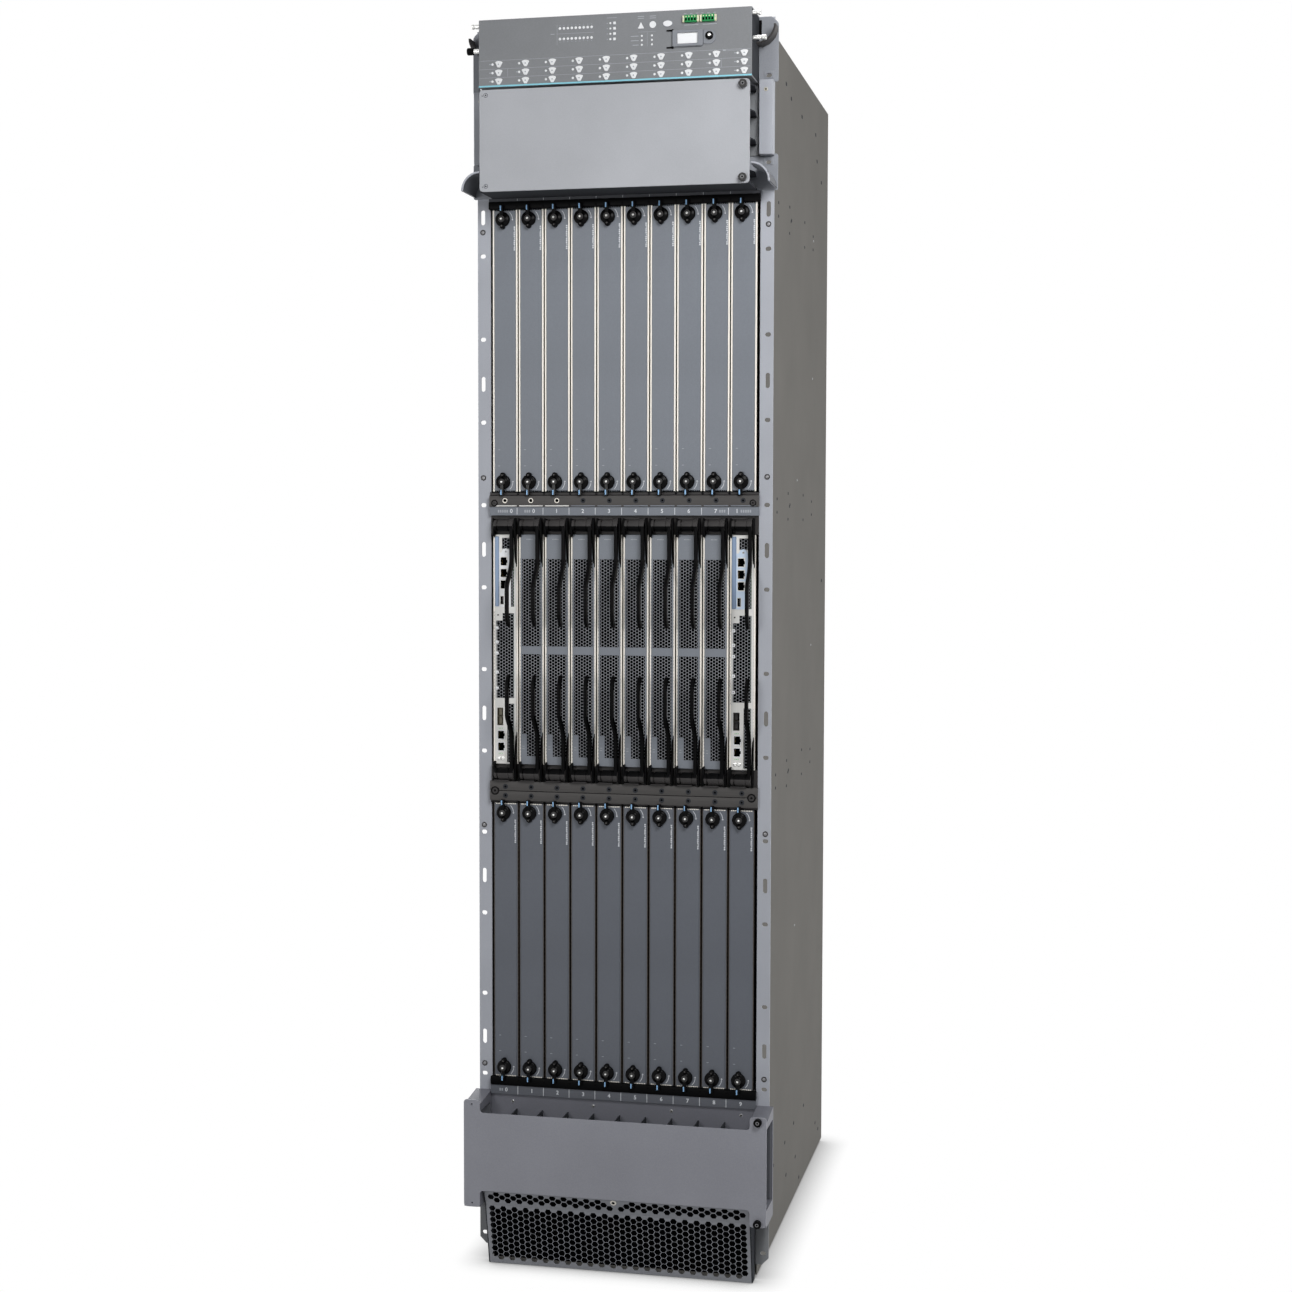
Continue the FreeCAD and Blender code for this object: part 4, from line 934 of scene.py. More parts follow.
def control_upper(shape, plate_finish):
    """Upper module of a control board: bar, plate with a round shoulder, three jacks and a serial socket."""
    plate = [(-17.4, 256), (8.6, 256), (8.6, 343), (6.5, 349), (1, 351.5), (-4.5, 349), (-6.5, 344),
             (-10.2, 344), (-10.2, 371), (-17.4, 371)]
    x, levels = -2.0, (330, 311, 292.5)
    mouths = [rectangle(x - 6.2, x + 5.9, z - 7.6, z + 7.6) for z in levels]
    mouths.append(rectangle(-8.9, -2.1, 259.5, 274.5))
    shape.plate(rounded(plate, 1.5, 3), PANEL_FRONT - 0.5, PANEL_FRONT + 0.4, plate_finish, holes=mouths,
                edge=0.3, closed=False)
    shape.block(-17.2, -10.4, PANEL_FRONT - 1.8, PANEL_FRONT, 257, 370.5, "blue_bar", 0.8)
    for z in levels:
        jack(shape, x, z, "silver")
    serial, frame_edge = rectangle(-8.0, -3.0, 260.5, 273.5), rectangle(-9.0, -2.0, 259.4, 274.6)
    socket(shape, serial, frame_edge, PANEL_FRONT - 0.7, "silver", "dark")
    shape.block(-6.3, -4.7, -2, 11.5, 262, 272, "rail", 0.2)
    cap_screw(shape, 1.0, 345.5, PANEL_FRONT - 0.5, 2.0, "sink", 0.6)


def control_lower(shape, cage_finish):
    """Lower panel of a control board: two module cages, two jacks, two round connectors and lamps."""
    for z in (70.5, 85.0):
        socket(shape, rectangle(-13.4, -4.6, z - 6.4, z + 6.4), rectangle(-14.2, -3.8, z - 7.2, z + 7.2),
               PANEL_FRONT - 0.5, cage_finish, "gasket")
        shape.block(-13.2, -7.5, 0.5, 11, z - 5.5, z + 5.5, cage_finish, 0.3)
    for z in (28.6, 47.8):
        jack(shape, -7.0, z, "key")
    connector = ((2.7, 0), (2.7, 1.4), (2.1, 1.8), (1.6, 1.8), (1.4, 0.4))
    for x in (-11.0, -4.5):
        shape.stud(connector, x, 9.5, PANEL_FRONT, "steel", 16)
    for z in (17.5, 58.6):
        for k in range(3):
            shape.stud(((0.7, 0), (0.7, 0.3), (0.2, 0.5)), -11 + k * 2.6, z, PANEL_FRONT, "lamp", 10)


def control_board(name, plate_finish, cage_finish):
    """Control board: silver plate with perforated fields, an upper and a lower socket panel."""
    shape = Shape()
    low, high = 0.5, BOARD_HEIGHT - 0.5
    fields = [rectangle(-5.6, 13.6, 350, 368), rectangle(9.2, 14.4, 256.5, 350),
              [(-15.5, 108), (14.4, 108), (14.4, 246), (-5, 246), (-5, 234), (-15.5, 234)],
              rectangle(2.4, 14.4, 3, 99)]
    wells = [rectangle(-9.4, 5.4, 283, 340), rectangle(-9.4, -1.6, 259, 275), rectangle(-13.8, -0.6, 20, 93)]
    sheet = rectangle(-PANEL_HALF, PANEL_HALF, low, high)
    shape.plate(sheet, PANEL_FRONT, -2.6, "silver", holes=fields + wells, edge=0.4, closed=False)
    for box in ((-6.5, 16, 348, 369.5), (8, 16, 255, 351), (-17, 16, 106, 248), (1.4, 16, 1.5, 100.5)):
        honeycomb(shape, *box)
    openings = [rectangle(-14.0, -4.0, 63.4, 92.1)]
    openings += [rectangle(-13.2, -1.1, z, z + 15.2) for z in (21.0, 40.2)]
    panel = rectangle(-14.6, 0.2, 15, 95)
    shape.plate(panel, PANEL_FRONT - 0.3, PANEL_FRONT + 0.3, "silver", holes=openings, edge=0.2,
                closed=False)
    shape.beam(PANEL_HALF, 12.2, 13.2, low, high, "dark", 0.2)
    control_upper(shape, plate_finish)
    control_lower(shape, cage_finish)
    for z in (222, 199, 181, 150, 124):
        pad = soft_rectangle(-16.5, -11.6, z - 2.6, z + 2.6, 1.6, 3)
        shape.plate(pad, PANEL_FRONT - 0.4, PANEL_FRONT + 0.6, "key", edge=0.2)
        shape.stud(((1.5, 0), (1.4, 0.5), (0.5, 0.6)), -14.0, z, PANEL_FRONT - 0.4, "sink", 12)
    cap_screw(shape, -12.5, 243, PANEL_FRONT, 1.3, "black", 0.4)
    contact_strips(shape, BOARD_HEIGHT, "nickel")
    hinge_ears(shape)
    components(shape, BOARD_HEIGHT)
    return shape.mesh(name)


def boards():
    """Middle cage: eight fabric boards between two control boards."""
    fabric = fabric_board()
    control = {0: control_board("control_board_left", "blue_plate", "olive"),
               SLOT_COUNT - 1: control_board("control_board_right", "ice_plate", "rail")}
    for index in range(SLOT_COUNT):
        if index in control:
            put_in_slot("control_board", index, control[index], 0, BOARDS_Z)
        else:
            put_in_slot("fabric_board", index, fabric, 0, BOARDS_Z)


def handle(name, towards):
    """Ejector handle: grooved hinge barrel, black on the lever's side and grey on the other half as painted
    sheen, and a lever bowed out to a foot.
    """
    shape = Shape()
    barrel = ((8.2, -16), (8.9, -15.4), (8.9, -11.8), (6.6, -11.6), (6.6, -9.6), (9.0, -9.4), (9.4, -8.8),
              (9.4, 7.4), (8.4, 8), (8.4, 8.6), (9.4, 9.2), (9.4, 15.4), (8.8, 16))
    shape.turned(barrel, (0, 0, 0), (1, 0, 0), "rail", 28)
    # Painted sheen: the barrel is grey on the half away from the lever and black on the lever's side.
    for k, face in enumerate(shape.faces):
        if towards * sum(shape.points[p][2] for p in face) > 0:
            shape.finishes[k] = "black"
    lever = [(19, -3), (19, 60), (30, 76), (46.6, 93), (46.8, 146), (44, 154), (35, 164), (27.5, 159.5),
             (37.5, 148), (38.8, 142), (38.8, 97), (22, 80), (11.2, 65), (11.2, -3)]
    left, right = 10.6, 16.0
    outline = rounded([(-out - HINGE_Y, towards * run) for out, run in lever], 7.0, 4)
    shape.plate(outline, left, right, "black", facing_side, edge=1.1)
    ends = sorted((towards * 98, towards * 141))
    grip = soft_rectangle(-44.2 - HINGE_Y, -41.2 - HINGE_Y, *ends, 1.3, 3)
    for x in (left - 0.1, right + 0.1):
        shape.mark(grip, x, "rail", facing_side)
    return shape.mesh(name)


def handles():
    """Two handles on every board of the middle cage."""
    upper = handle("handle_upper", -1)
    lower = handle("handle_lower", 1)
    for index in range(SLOT_COUNT):
        put_in_slot("upper_handle", index, upper, HINGE_Y, UPPER_HINGE_Z)
        put_in_slot("lower_handle", index, lower, HINGE_Y, LOWER_HINGE_Z)


def craft_key(shape, x, z):
    """White fan-shaped key with a round top and a status lamp at its left."""
    arc = [math.radians(a) for a in range(55, 126, 10)]
    outline = [(x + 10.9 * math.cos(t), z - 4.6 + 9.6 * math.sin(t)) for t in arc]
    outline += [(x - 2.2, z - 4.9), (x + 2.2, z - 4.9)]
    shape.plate(rounded(outline, 0.9, 2), CRAFT_FRONT - 1.45, CRAFT_FRONT, "key", edge=0.5)
    sign = [(x - 1.6, z + 0.2), (x, z - 1.9), (x + 1.6, z + 0.2), (x, z + 1.2)]
    shape.mark(rounded(sign, 0.5, 2), CRAFT_FRONT - 1.5, "faint_ink")
    lamp_dot(shape, x - 10.4, z + 0.2, 1.9)


def lamp_dot(shape, x, z, radius):
    """Small round white lamp on the panel."""
    dome = ((radius, 0), (radius * 0.9, 0.4), (radius * 0.5, 0.6), (radius * 0.1, 0.65))
    shape.stud(dome, x, z, CRAFT_FRONT, "key", 12)


def line_mark(shape, x0, x1, z0, z1):
    """Thin printed line."""
    shape.mark(rectangle(x0, x1, z0, z1), CRAFT_FRONT - 0.06, "faint_ink")


def terminal(shape, x, z):
    """Green terminal block with pale ends and four dark wire mouths."""
    half, front = 9.6, CRAFT_FRONT - 5.9
    shape.block(x - half, x + half, front, CRAFT_FRONT, z - 5.4, z + 5.4, "green", 0.6)
    for side in BOTH_SIDES:
        ends = sorted((x + side * half, x + side * 12.9))
        shape.block(*ends, CRAFT_FRONT - 4.6, CRAFT_FRONT, z - 5.0, z + 5.0, "pale", 0.5)
        shape.stud(((1.1, 0), (1.1, 0.3), (0.4, 0.3)), x + side * 11.2, z, CRAFT_FRONT - 4.6, "steel", 10)
    for k in range(4):
        mouth = x - 6.9 + k * 4.6
        shape.mark(rectangle(mouth - 1.5, mouth + 1.5, z - 3.4, z + 0.6), front - PRINT_RISE, "dark")
        shape.mark(circle(mouth, z + 3.0, 1.0, 10), front - PRINT_RISE, "pale")


def craft_keys(shape):
    """Three rows of keys with a line above each row, and bars for the words beside the outer keys."""
    for row in range(3):
        z = CRAFT_Z + 8.6 + row * 13.2
        for index in range(SLOT_COUNT):
            x = slot_x(index)
            craft_key(shape, x + 10.5, z)
            if index in (0, SLOT_COUNT - 1) or (row == 1 and index in (1, SLOT_COUNT - 2)):
                line_mark(shape, x - 5, x - 1, z - 0.3, z + 1.1)
        line_mark(shape, -HALF_CRAFT + 1.5, HALF_CRAFT - 2, z + 5.9, z + 6.3)
    for x in (-170, 170):
        line_mark(shape, x - 0.2, x + 0.2, CRAFT_Z + 15.5, CRAFT_Z + 28)


def craft_lamps(shape):
    """Fan lamps in two rows of nine, a column of four, and three pairs beside the buttons."""
    for z, turn in ((1980.0, 1), (1963.9, -1)):
        for k in range(9):
            shift = k * 6.33
            lamp_dot(shape, -85.4 + shift, z, 2.1)
            number_z = z + turn * 4.6
            line_mark(shape, -86.2 + shift, -84.6 + shift, number_z - 0.3, number_z + 0.3)
    for k in range(4):
        z = 1984.2 - k * 8.1
        lamp_dot(shape, -4.9, z, 1.6)
        shape.block(-0.2, 3.8, CRAFT_FRONT - 0.5, CRAFT_FRONT, z - 2.0, z + 2.0, "key", 0.3)
        line_mark(shape, -10.6, -8.8, z - 0.5, z + 0.5)
    for k in range(3):
        drop = k * 6.8
        for x in (45.0, 61.0):
            lamp_dot(shape, x, 1962.4 - drop, 1.6)
        line_mark(shape, 30.5 if k == 2 else 27.5, 40.0, 1961.9 - drop, 1962.9 - drop)


def craft_print(shape):
    """Printed lines of the panel, and bars in the places of its words."""
    for box in ((-90.2, -89.8, 1955, 1986), (-90, -31, 1971.6, 1972.0), (-10.5, 5.0, 1992.0, 1992.6),
                (53.5, 53.8, 1946, 1967), (39, 67, 1968.2, 1968.5), (172, 172.3, 1935.2, 1937.5),
                (172, 176.3, 1933.6, 1935.5), (176, 202.3, 1933.6, 1933.9)):
        line_mark(shape, *box)
    for x, z, reach in ((43.6, 1992.0, 5.0), (43.6, 1989.1, 5.0), (62.5, 1991.8, 5.0), (62.5, 1988.8, 5.0),
                        (-97.3, 1971.7, 3.2), (122.8, 1975.4, 10.9), (151.5, 1975.4, 10.9),
                        (119.1, 1966.6, 14.0)):
        line_mark(shape, x - reach, x + reach, z - 0.45, z + 0.45)
    for x in (113, 122.4, 132, 140, 149.6, 159):
        line_mark(shape, x - 2, x + 2, 1992.2, 1992.9)
    for z0, z1 in ((1988, 1990.4), (1983, 1985.4)):
        shape.mark(rectangle(-216.4, -216.0, z0, z1), CRAFT_FRONT - PRINT_RISE, "faint_ink")


def craft_buttons(shape):
    """Triangular, round and oval buttons."""
    triangle = rounded([(38.8, 1973.6), (48.6, 1973.6), (43.7, 1983.4)], 1.0, 3)
    for outline in (triangle, circle(62.3, 1978.8, 5.2, 28)):
        shape.plate(outline, CRAFT_FRONT - 0.6, CRAFT_FRONT, "key", edge=0.2)
    oval_button = [(85.8 + 8.2 * a, 1979.2 + 5.6 * b) for a, b in circle(0, 0, 1, 32)]
    shape.plate(oval_button, CRAFT_FRONT - 0.9, CRAFT_FRONT, "bezel", edge=0.5)
    shape.plate(inset(oval_button, 1.0), CRAFT_FRONT - 1.1, CRAFT_FRONT - 0.8, "key", edge=0.3)


def display(shape):
    """Plug-in display module: bezel with a white window, hooks at the left and a knob plate at the right."""
    bezel = soft_rectangle(93.8, 141.6, 1942.6, 1967.6, 2.2, 4)
    window = soft_rectangle(101.5, 133.4, 1946.8, 1963.2, 1.6, 4)
    shape.plate(bezel, CRAFT_FRONT - 4.8, CRAFT_FRONT, "bezel", holes=[window], edge=0.9, wall="dark")
    shape.mark(window, CRAFT_FRONT - 2.6, "window")
    plate = [(141.6, 1945.2), (155, 1945.2), (161, 1951), (161, 1961), (155, 1967), (141.6, 1967)]
    shape.plate(rounded(plate, 3.0, 4), CRAFT_FRONT - 1.6, CRAFT_FRONT, "bezel", edge=0.5)
    body = ((6.4, 0), (6.4, 1.0), (5.6, 1.4), (5.4, 2.6), (4.2, 3.3), (0.3, 3.6))
    shape.stud(body, 151.2, 1957.7, CRAFT_FRONT - 1.5, "gloss", 28)
    # A small bright steel cap, set up and to the right of the knob's centre, is a painted glint.
    tip = ((2.5, 0), (2.3, 0.6), (1.4, 1.0), (0.3, 1.1))
    shape.stud(tip, 151.4, 1958.4, CRAFT_FRONT - 4.8, "steel", 20)
    for z in (1941.0, 1966.8):
        shape.block(84, 94.5, CRAFT_FRONT - 1.2, CRAFT_FRONT, z, z + 2.4, "black", 0.3)
        shape.block(92.6, 95.2, CRAFT_FRONT - 3.0, CRAFT_FRONT, z - 0.6, z + 3.0, "black", 0.4)


def craft_panel():
    """Display and key panel at the top of the front."""
    shape = Shape()
    half, sheet = HALF_CRAFT, 2
    behind = CRAFT_FRONT + sheet
    shape.beam(half, CRAFT_FRONT, behind, CRAFT_Z, CRAFT_TOP, "craft", 0.7)
    for z in (CRAFT_TOP - sheet, CRAFT_Z):
        shape.beam(half, behind, TRAY_BACK, z, z + sheet, "craft", 0.4)
    # The panel's end walls are painted dark grey as painted shade.
    for x in (-half, half - sheet):
        shape.block(x, x + sheet, behind, TRAY_BACK, CRAFT_Z + sheet, CRAFT_TOP - sheet, "shelf", 0.3)
    shape.beam(half, CRAFT_FRONT - 0.15, CRAFT_FRONT + 0.4, CRAFT_Z + 0.4, CRAFT_Z + 2.9, "cyan", 0.1)
    craft_keys(shape)
    craft_lamps(shape)
    craft_print(shape)
    craft_buttons(shape)
    for x in (122.4, 149.6):
        terminal(shape, x, 1984.0)
    display(shape)
    put_fixed("craft_panel_dressed", shape, "craft_panel")


def bend_guide(shape, side, hub_x, hub_z, turn, front, outer, inner, rim):
    """Quarter-round cable guide with an outer and an inner skin and a rolled front edge."""
    radius, skin = 30, 1.5
    roll_back = front + 1.6
    steps = [math.pi / 2 * k / 14 for k in range(15)]

    def band(reach, thickness):
        """Outline of one quarter-round skin."""
        near = reach - thickness
        arc = [(reach * math.sin(t), reach * math.cos(t)) for t in steps]
        arc += [(near * math.sin(t), near * math.cos(t)) for t in reversed(steps)]
        return [(side * (hub_x + a), hub_z - turn * b) for a, b in arc]

    shape.plate(band(radius, skin), roll_back, TRAY_BACK, outer, edge=0.2)
    shape.plate(band(radius - skin, skin), roll_back, TRAY_BACK, inner, edge=0.2)
    shape.plate(band(radius, 2 * skin), front, roll_back, rim, edge=0.8)


def side_post(shape, side, z, y, length, capped):
    """Steel post out of the craft panel's end, for tying cables; a capped one has a black knob."""
    profile = ((3.6, 0), (3.6, length * 0.5), (2.6, length * 0.55), (2.6, length * 0.66),
               (4.0, length * 0.7), (4.0, length - 0.8), (3.2, length))
    shape.turned(profile, (side * HALF_CRAFT, y, z), (side, 0, 0), "steel", 18)
    if capped:
        cap = ((4.6, 0), (5.8, 1), (5.8, 9.5), (4.8, 10.5))
        shape.turned(cap, (side * (HALF_CRAFT + length * 0.52), y, z), (side, 0, 0), "black", 20)


def tray_side(shape, side):
    """Raised strip beside the upper cover, its screw, the shaded sheet behind, and a recess at the top."""
    levels = (TRAY_STRIP_Z, TRAY_STRIP_TOP)
    strip = span(side, FLANGE_INNER, HALF_FLANGE + 0.5)
    shape.block(*strip, TRAY_STRIP_FRONT, TRAY_BACK, *levels, "flange", 0.8)
    # The sheet behind the strip takes the darker craft paint as painted shade.
    shape.block(*span(side, 196, FLANGE_INNER), TRAY_BACK - 2, TRAY_BACK, *levels, "craft", 0.3)
    cap_screw(shape, side * 230.4, 1884.3, TRAY_STRIP_FRONT, 3.2, "cream", 1.2)
    shape.block(*span(side, 205, 221), TRAY_BACK - 3, TRAY_BACK, 1972, 1993, "black", 0.4)


def upper_tray():
    """Upper cable tray: back sheet with wings, floor, fins, bend guides, raised strips and tie posts."""
    shape = Shape()
    bracket_top, wing_z, wing_top, cut = 1788, 1899, 1989, 10
    outline = mirrored([(HALF_WING, UPPER_TRAY_Z), (HALF_WING, bracket_top), (HALF_COVER, bracket_top),
                        (HALF_COVER, wing_z), (HALF_WING, wing_z), (HALF_WING, wing_top),
                        (HALF_WING - cut, CRAFT_TOP)])
    holes = rack_holes(-1)[:2] + rack_holes(1)[:2]
    shape.plate(rounded(outline, 3.5, 4), TRAY_BACK, 0, "tray", holes=holes, edge=0.5)
    front = UPPER_COVER_FRONT + 2
    floor_top = UPPER_TRAY_Z + 3
    shape.beam(HALF_COVER, front, TRAY_BACK, UPPER_TRAY_Z, floor_top, "shelf", 0.4)
    # The fins, and the fin tips further down, are painted dark grey as painted shade.
    fin = [(TRAY_BACK, floor_top), (-61, floor_top), (TRAY_BACK, UPPER_TRAY_Z + 37)]
    for x in slot_lines():
        shape.plate(fin, x - 1, x + 1, "shelf", facing_side, edge=0.3)
    for side in BOTH_SIDES:
        # The outer skins, and the inner skin on the left, are painted mid grey as painted shade; the lit
        # right inner skin takes the flange paint.
        inner = "flange" if side > 0 else "cheek"
        bend_guide(shape, side, HALF_COVER + 1, floor_top, -1, front, "cheek", inner, "flange")
        bend_guide(shape, side, HALF_CRAFT, CRAFT_TOP - 17, 1, -30, "rail", "rail", "rail")
        tray_side(shape, side)
        tip = [(side * x, y) for x, y in ((200, TRAY_BACK), (213.5, TRAY_BACK), (218.4, -46), (212, -72))]
        for z in (1753, 1802, 1845, 1884):
            shape.plate(tip, z - 0.9, z + 0.9, "shelf", facing_up, edge=0.3)
        x = side * RACK_HOLE_X
        for z in rack_hole_levels()[:2]:
            boss = soft_rectangle(x - 8, x + 8, z - 4.6, z + 7, 2.5, 3)
            shape.plate(boss, -3.9, -2.8, "tray", holes=[oval(x, z, 9.0, 6.4)], edge=0.6, closed=False)
        side_post(shape, side, 1990.5, -66, 13, False)
        side_post(shape, side, 1953.5, -62, 21, side < 0)
    put_fixed("upper_tray_dressed", shape, "upper_cable_tray")


def lower_tray():
    """Lower cable tray: back sheet, floor, fins with a level top edge and open end posts."""
    shape = Shape()
    front = LOWER_COVER_FRONT + 2
    shape.beam(POST_INNER, TRAY_BACK, 0, LOWER_TRAY_Z, LOWER_STRIP_Z, "tray_low", 0.4)
    shape.beam(POST_INNER, front, TRAY_BACK, LOWER_FLOOR_Z, LOWER_FLOOR_Z + 3, "tray_low", 0.4)
    for x in (-184, -48, 82, 196):
        cap_screw(shape, x, 265, TRAY_BACK, 2.5, "steel", 0.8)
    # The fins are painted dark grey as painted shade.
    fin = [(TRAY_BACK, 253), (-55, 253), (-55, 243), (TRAY_BACK, 213)]
    for x in slot_lines():
        shape.plate(fin, x - 4.75, x - 2.75, "shelf", facing_side, edge=0.3)
    sill, lintel, post_back = LOWER_FLOOR_Z, 263, -6
    post = [(0, LOWER_COVER_Z), (front, LOWER_COVER_Z), (front, sill), (post_back, sill),
            (post_back, lintel), (front, lintel), (front, 274), (0, LOWER_COVER_TOP)]
    for side in BOTH_SIDES:
        shape.plate(post, *span(side, POST_INNER, HALF_POST), "tray_low", facing_side, edge=0.5)
        # The inner block seen through each post's window is painted mid grey as painted shade.
        inner = span(side, POST_INNER + 0.5, HALF_POST - 4)
        shape.block(*inner, post_back - 2, post_back, sill + 1, lintel - 1, "cheek", 0.2)
    put_fixed("lower_tray_dressed", shape, "lower_cable_tray")


def covers():
    """Flat upper cover and H-shaped lower cover, with their screws."""
    shape = Shape()
    sheet = 2
    front, inset_z = UPPER_COVER_FRONT, 8.5
    upper = soft_rectangle(-HALF_COVER, HALF_COVER, UPPER_TRAY_Z, UPPER_TRAY_TOP, 7.0, 6)
    shape.plate(upper, front, front + sheet, "cover", edge=0.6)
    for z in (UPPER_TRAY_Z + inset_z, UPPER_TRAY_TOP - inset_z):
        shape.stud(((3.6, 0), (3.5, 0.1), (0.5, 0.1)), -204.5, z, front, "cheek", 18)
        cap_screw(shape, -204.5, z, front, 2.7, "cover", 0.5)
        cap_screw(shape, -210.0, z - 1, front, 1.7, "cover", 0.4)
        thumbscrew(shape, HALF_COVER - 10, z, front, "hub")
    front = LOWER_COVER_FRONT
    lower = mirrored([(HALF_POST, LOWER_COVER_Z), (HALF_POST, LOWER_COVER_TOP),
                      (POST_INNER, LOWER_COVER_TOP), (POST_INNER, 261)])
    lower += [(-POST_INNER, LOWER_COVER_Z), (-POST_INNER, LOWER_FLOOR_Z), (POST_INNER, LOWER_FLOOR_Z),
              (POST_INNER, LOWER_COVER_Z)]
    shape.plate(rounded(lower, 6.0, 5), front, front + sheet, "cover_low", edge=0.6)
    for z in (LOWER_COVER_Z + 7, LOWER_COVER_TOP - 7):
        cap_screw(shape, -234.0, z, front, 2.8, "cover_low", 0.6)
        thumbscrew(shape, (POST_INNER + HALF_POST) / 2, z, front, "black")
    put_fixed("cable_covers_dressed", shape, "cable_covers")


def grille():
    """Folded intake sheet with hexagon holes over a dark space."""
    shape = Shape()
    foot, fold, top = (-22.0, 0.0), (-45.0, 104.0), (-56.0, 130.0)
    spacing, pitch, middle = 9.43, 10.45, 22
    main, band = [], []
    for column in range(2 * middle + 1):
        across = (column - middle) * spacing
        lowered = column % 2
        main += [(100 - lowered * pitch / 2 - k * pitch, across) for k in range(9)]
        if lowered:
            band.append((10, across))
        if abs(column - middle) > 1:
            band.append((22 if lowered else 16, across))
    for start, end, centres in ((foot, fold, main), (fold, top, band)):
        run = math.dist(start, end)

        def on_slope(a, b, d):
            """Point of a slanted face: b runs up the slope."""
            t = b / run
            return (a, start[0] + (end[0] - start[0]) * t + d, start[1] + (end[1] - start[1]) * t)

        holes = [[(a, b) for b, a in hexagon(along, across, 9.75)] for along, across in centres]
        sheet = rectangle(-HALF_GRILLE, HALF_GRILLE, 0, run)
        shape.plate(sheet, 0, 0.8, "grille", on_slope, holes=holes, edge=0.1, wall="dark")
    shape.beam(HALF_GRILLE, top[0], TRAY_BACK, top[1] - 2, top[1], "grille", 0.2)
    for side in BOTH_SIDES:
        ends = span(side, HALF_GRILLE, HALF_GRILLE - 2)
        # The grille's side cheeks are painted dark grey as painted shade.
        cheek = [foot, fold, top, (TRAY_BACK, top[1]), (TRAY_BACK, 0)]
        shape.plate(cheek, *ends, "shelf", facing_side, edge=0.2)
    shape.beam(HALF_GRILLE - 3, -5, -3.2, 1, 127, "dark", 0.2)
    bolt = ((-2.3, -53.6, 124.6), (0, -0.92, -0.39))
    shape.turned(((5.0, 0), (5.0, 0.8), (4.3, 1.5), (2.9, 1.5), (2.6, 0.4)), *bolt, "nickel", 20)
    shape.turned(((2.8, 0.3), (2.6, 0.6), (0.3, 0.6)), *bolt, "dark", 12)
    put_fixed("intake_grille_dressed", shape, "intake_grille")


def rear_stud(shape, profile, x, z, finish, sides):
    """Turned body on a rear face."""
    shape.stud(profile, x, z, REAR_FACE, finish, sides, BACKWARD)


def opening(shape, outline, y0, y1, finish):
    """Wall round an opening, or round a housing, between two depths."""
    shape.walls([(a, y0, b) for a, b in outline], [(a, y1, b) for a, b in outline], finish)


def rear_pull(shape, x, z):
    """Bow handle with round bends on a rear face."""
    top, thick = z + PULL_HEIGHT, 8
    outline = [(REAR_FACE, z), (PULL_BACK, z), (PULL_BACK, top), (REAR_FACE, top), (REAR_FACE, top - thick),
               (PULL_BACK - thick, top - thick), (PULL_BACK - thick, z + thick), (REAR_FACE, z + thick)]
    shape.plate(rounded(outline, 5.0, 4), x - 7, x + 7, "black", facing_side, edge=1.2)


def fan(shape, x, z, radius):
    """Fan rotor in its well with a wire guard."""
    well_depth, blades, wire = 24, 7, 0.9
    well = circle(x, z, radius, 40)
    opening(shape, well, REAR_FACE, REAR_FACE - well_depth, "black")
    shape.mark(well, REAR_FACE - 23.8, "dark")
    rotor = ((radius * 0.36, 0), (radius * 0.36, 16), (radius * 0.3, 18), (radius * 0.1, 18.4))
    shape.stud(rotor, x, z, REAR_FACE - 23.5, "black", 28, BACKWARD)
    for k in range(blades):
        blade = []
        for reach, lead in ((0.34, 0.0), (0.62, 0.12), (0.95, 0.3)):
            for y, twist in ((-22, 0.0), (-7, 0.42)):
                t = 2 * math.pi * k / blades + lead + twist
                out = radius * reach
                blade.append((x + out * math.cos(t), REAR_FACE + y, z + out * math.sin(t)))
        shape.add(blade, [[0, 1, 3, 2], [2, 3, 5, 4]], "chip")
    for reach in (0.42, 0.6, 0.78, 0.97):
        rings = []
        for out, back in ((-wire, 0), (0, wire), (wire, 0), (0, -wire)):
            rings.append([(a, REAR_FACE - 1.2 + back, b) for a, b in circle(x, z, radius * reach + out, 40)])
        for near, far in zip(rings, rings[1:] + rings[:1]):
            shape.walls(near, far, "steel")
    for k in range(4):
        t = math.pi / 4 + math.pi / 2 * k
        run = (math.cos(t), 0, math.sin(t))
        shape.turned(((wire, radius * 0.36), (wire, radius)), (x, REAR_FACE - 2.4, z), run, "steel", 8)


def rear_face_plate(shape, x0, x1, z0, z1, holes):
    """Zinc plated rear face of a module, with its closed housing."""
    outline = rectangle(x0, x1, z0, z1)
    back = REAR_FACE - 2
    shape.plate(outline, REAR_FACE, back, "zinc", holes=holes, edge=0.6, closed=False)
    opening(shape, outline, back, REAR_FRONT, "zinc")
    shape.mark(outline, REAR_FRONT, "zinc")


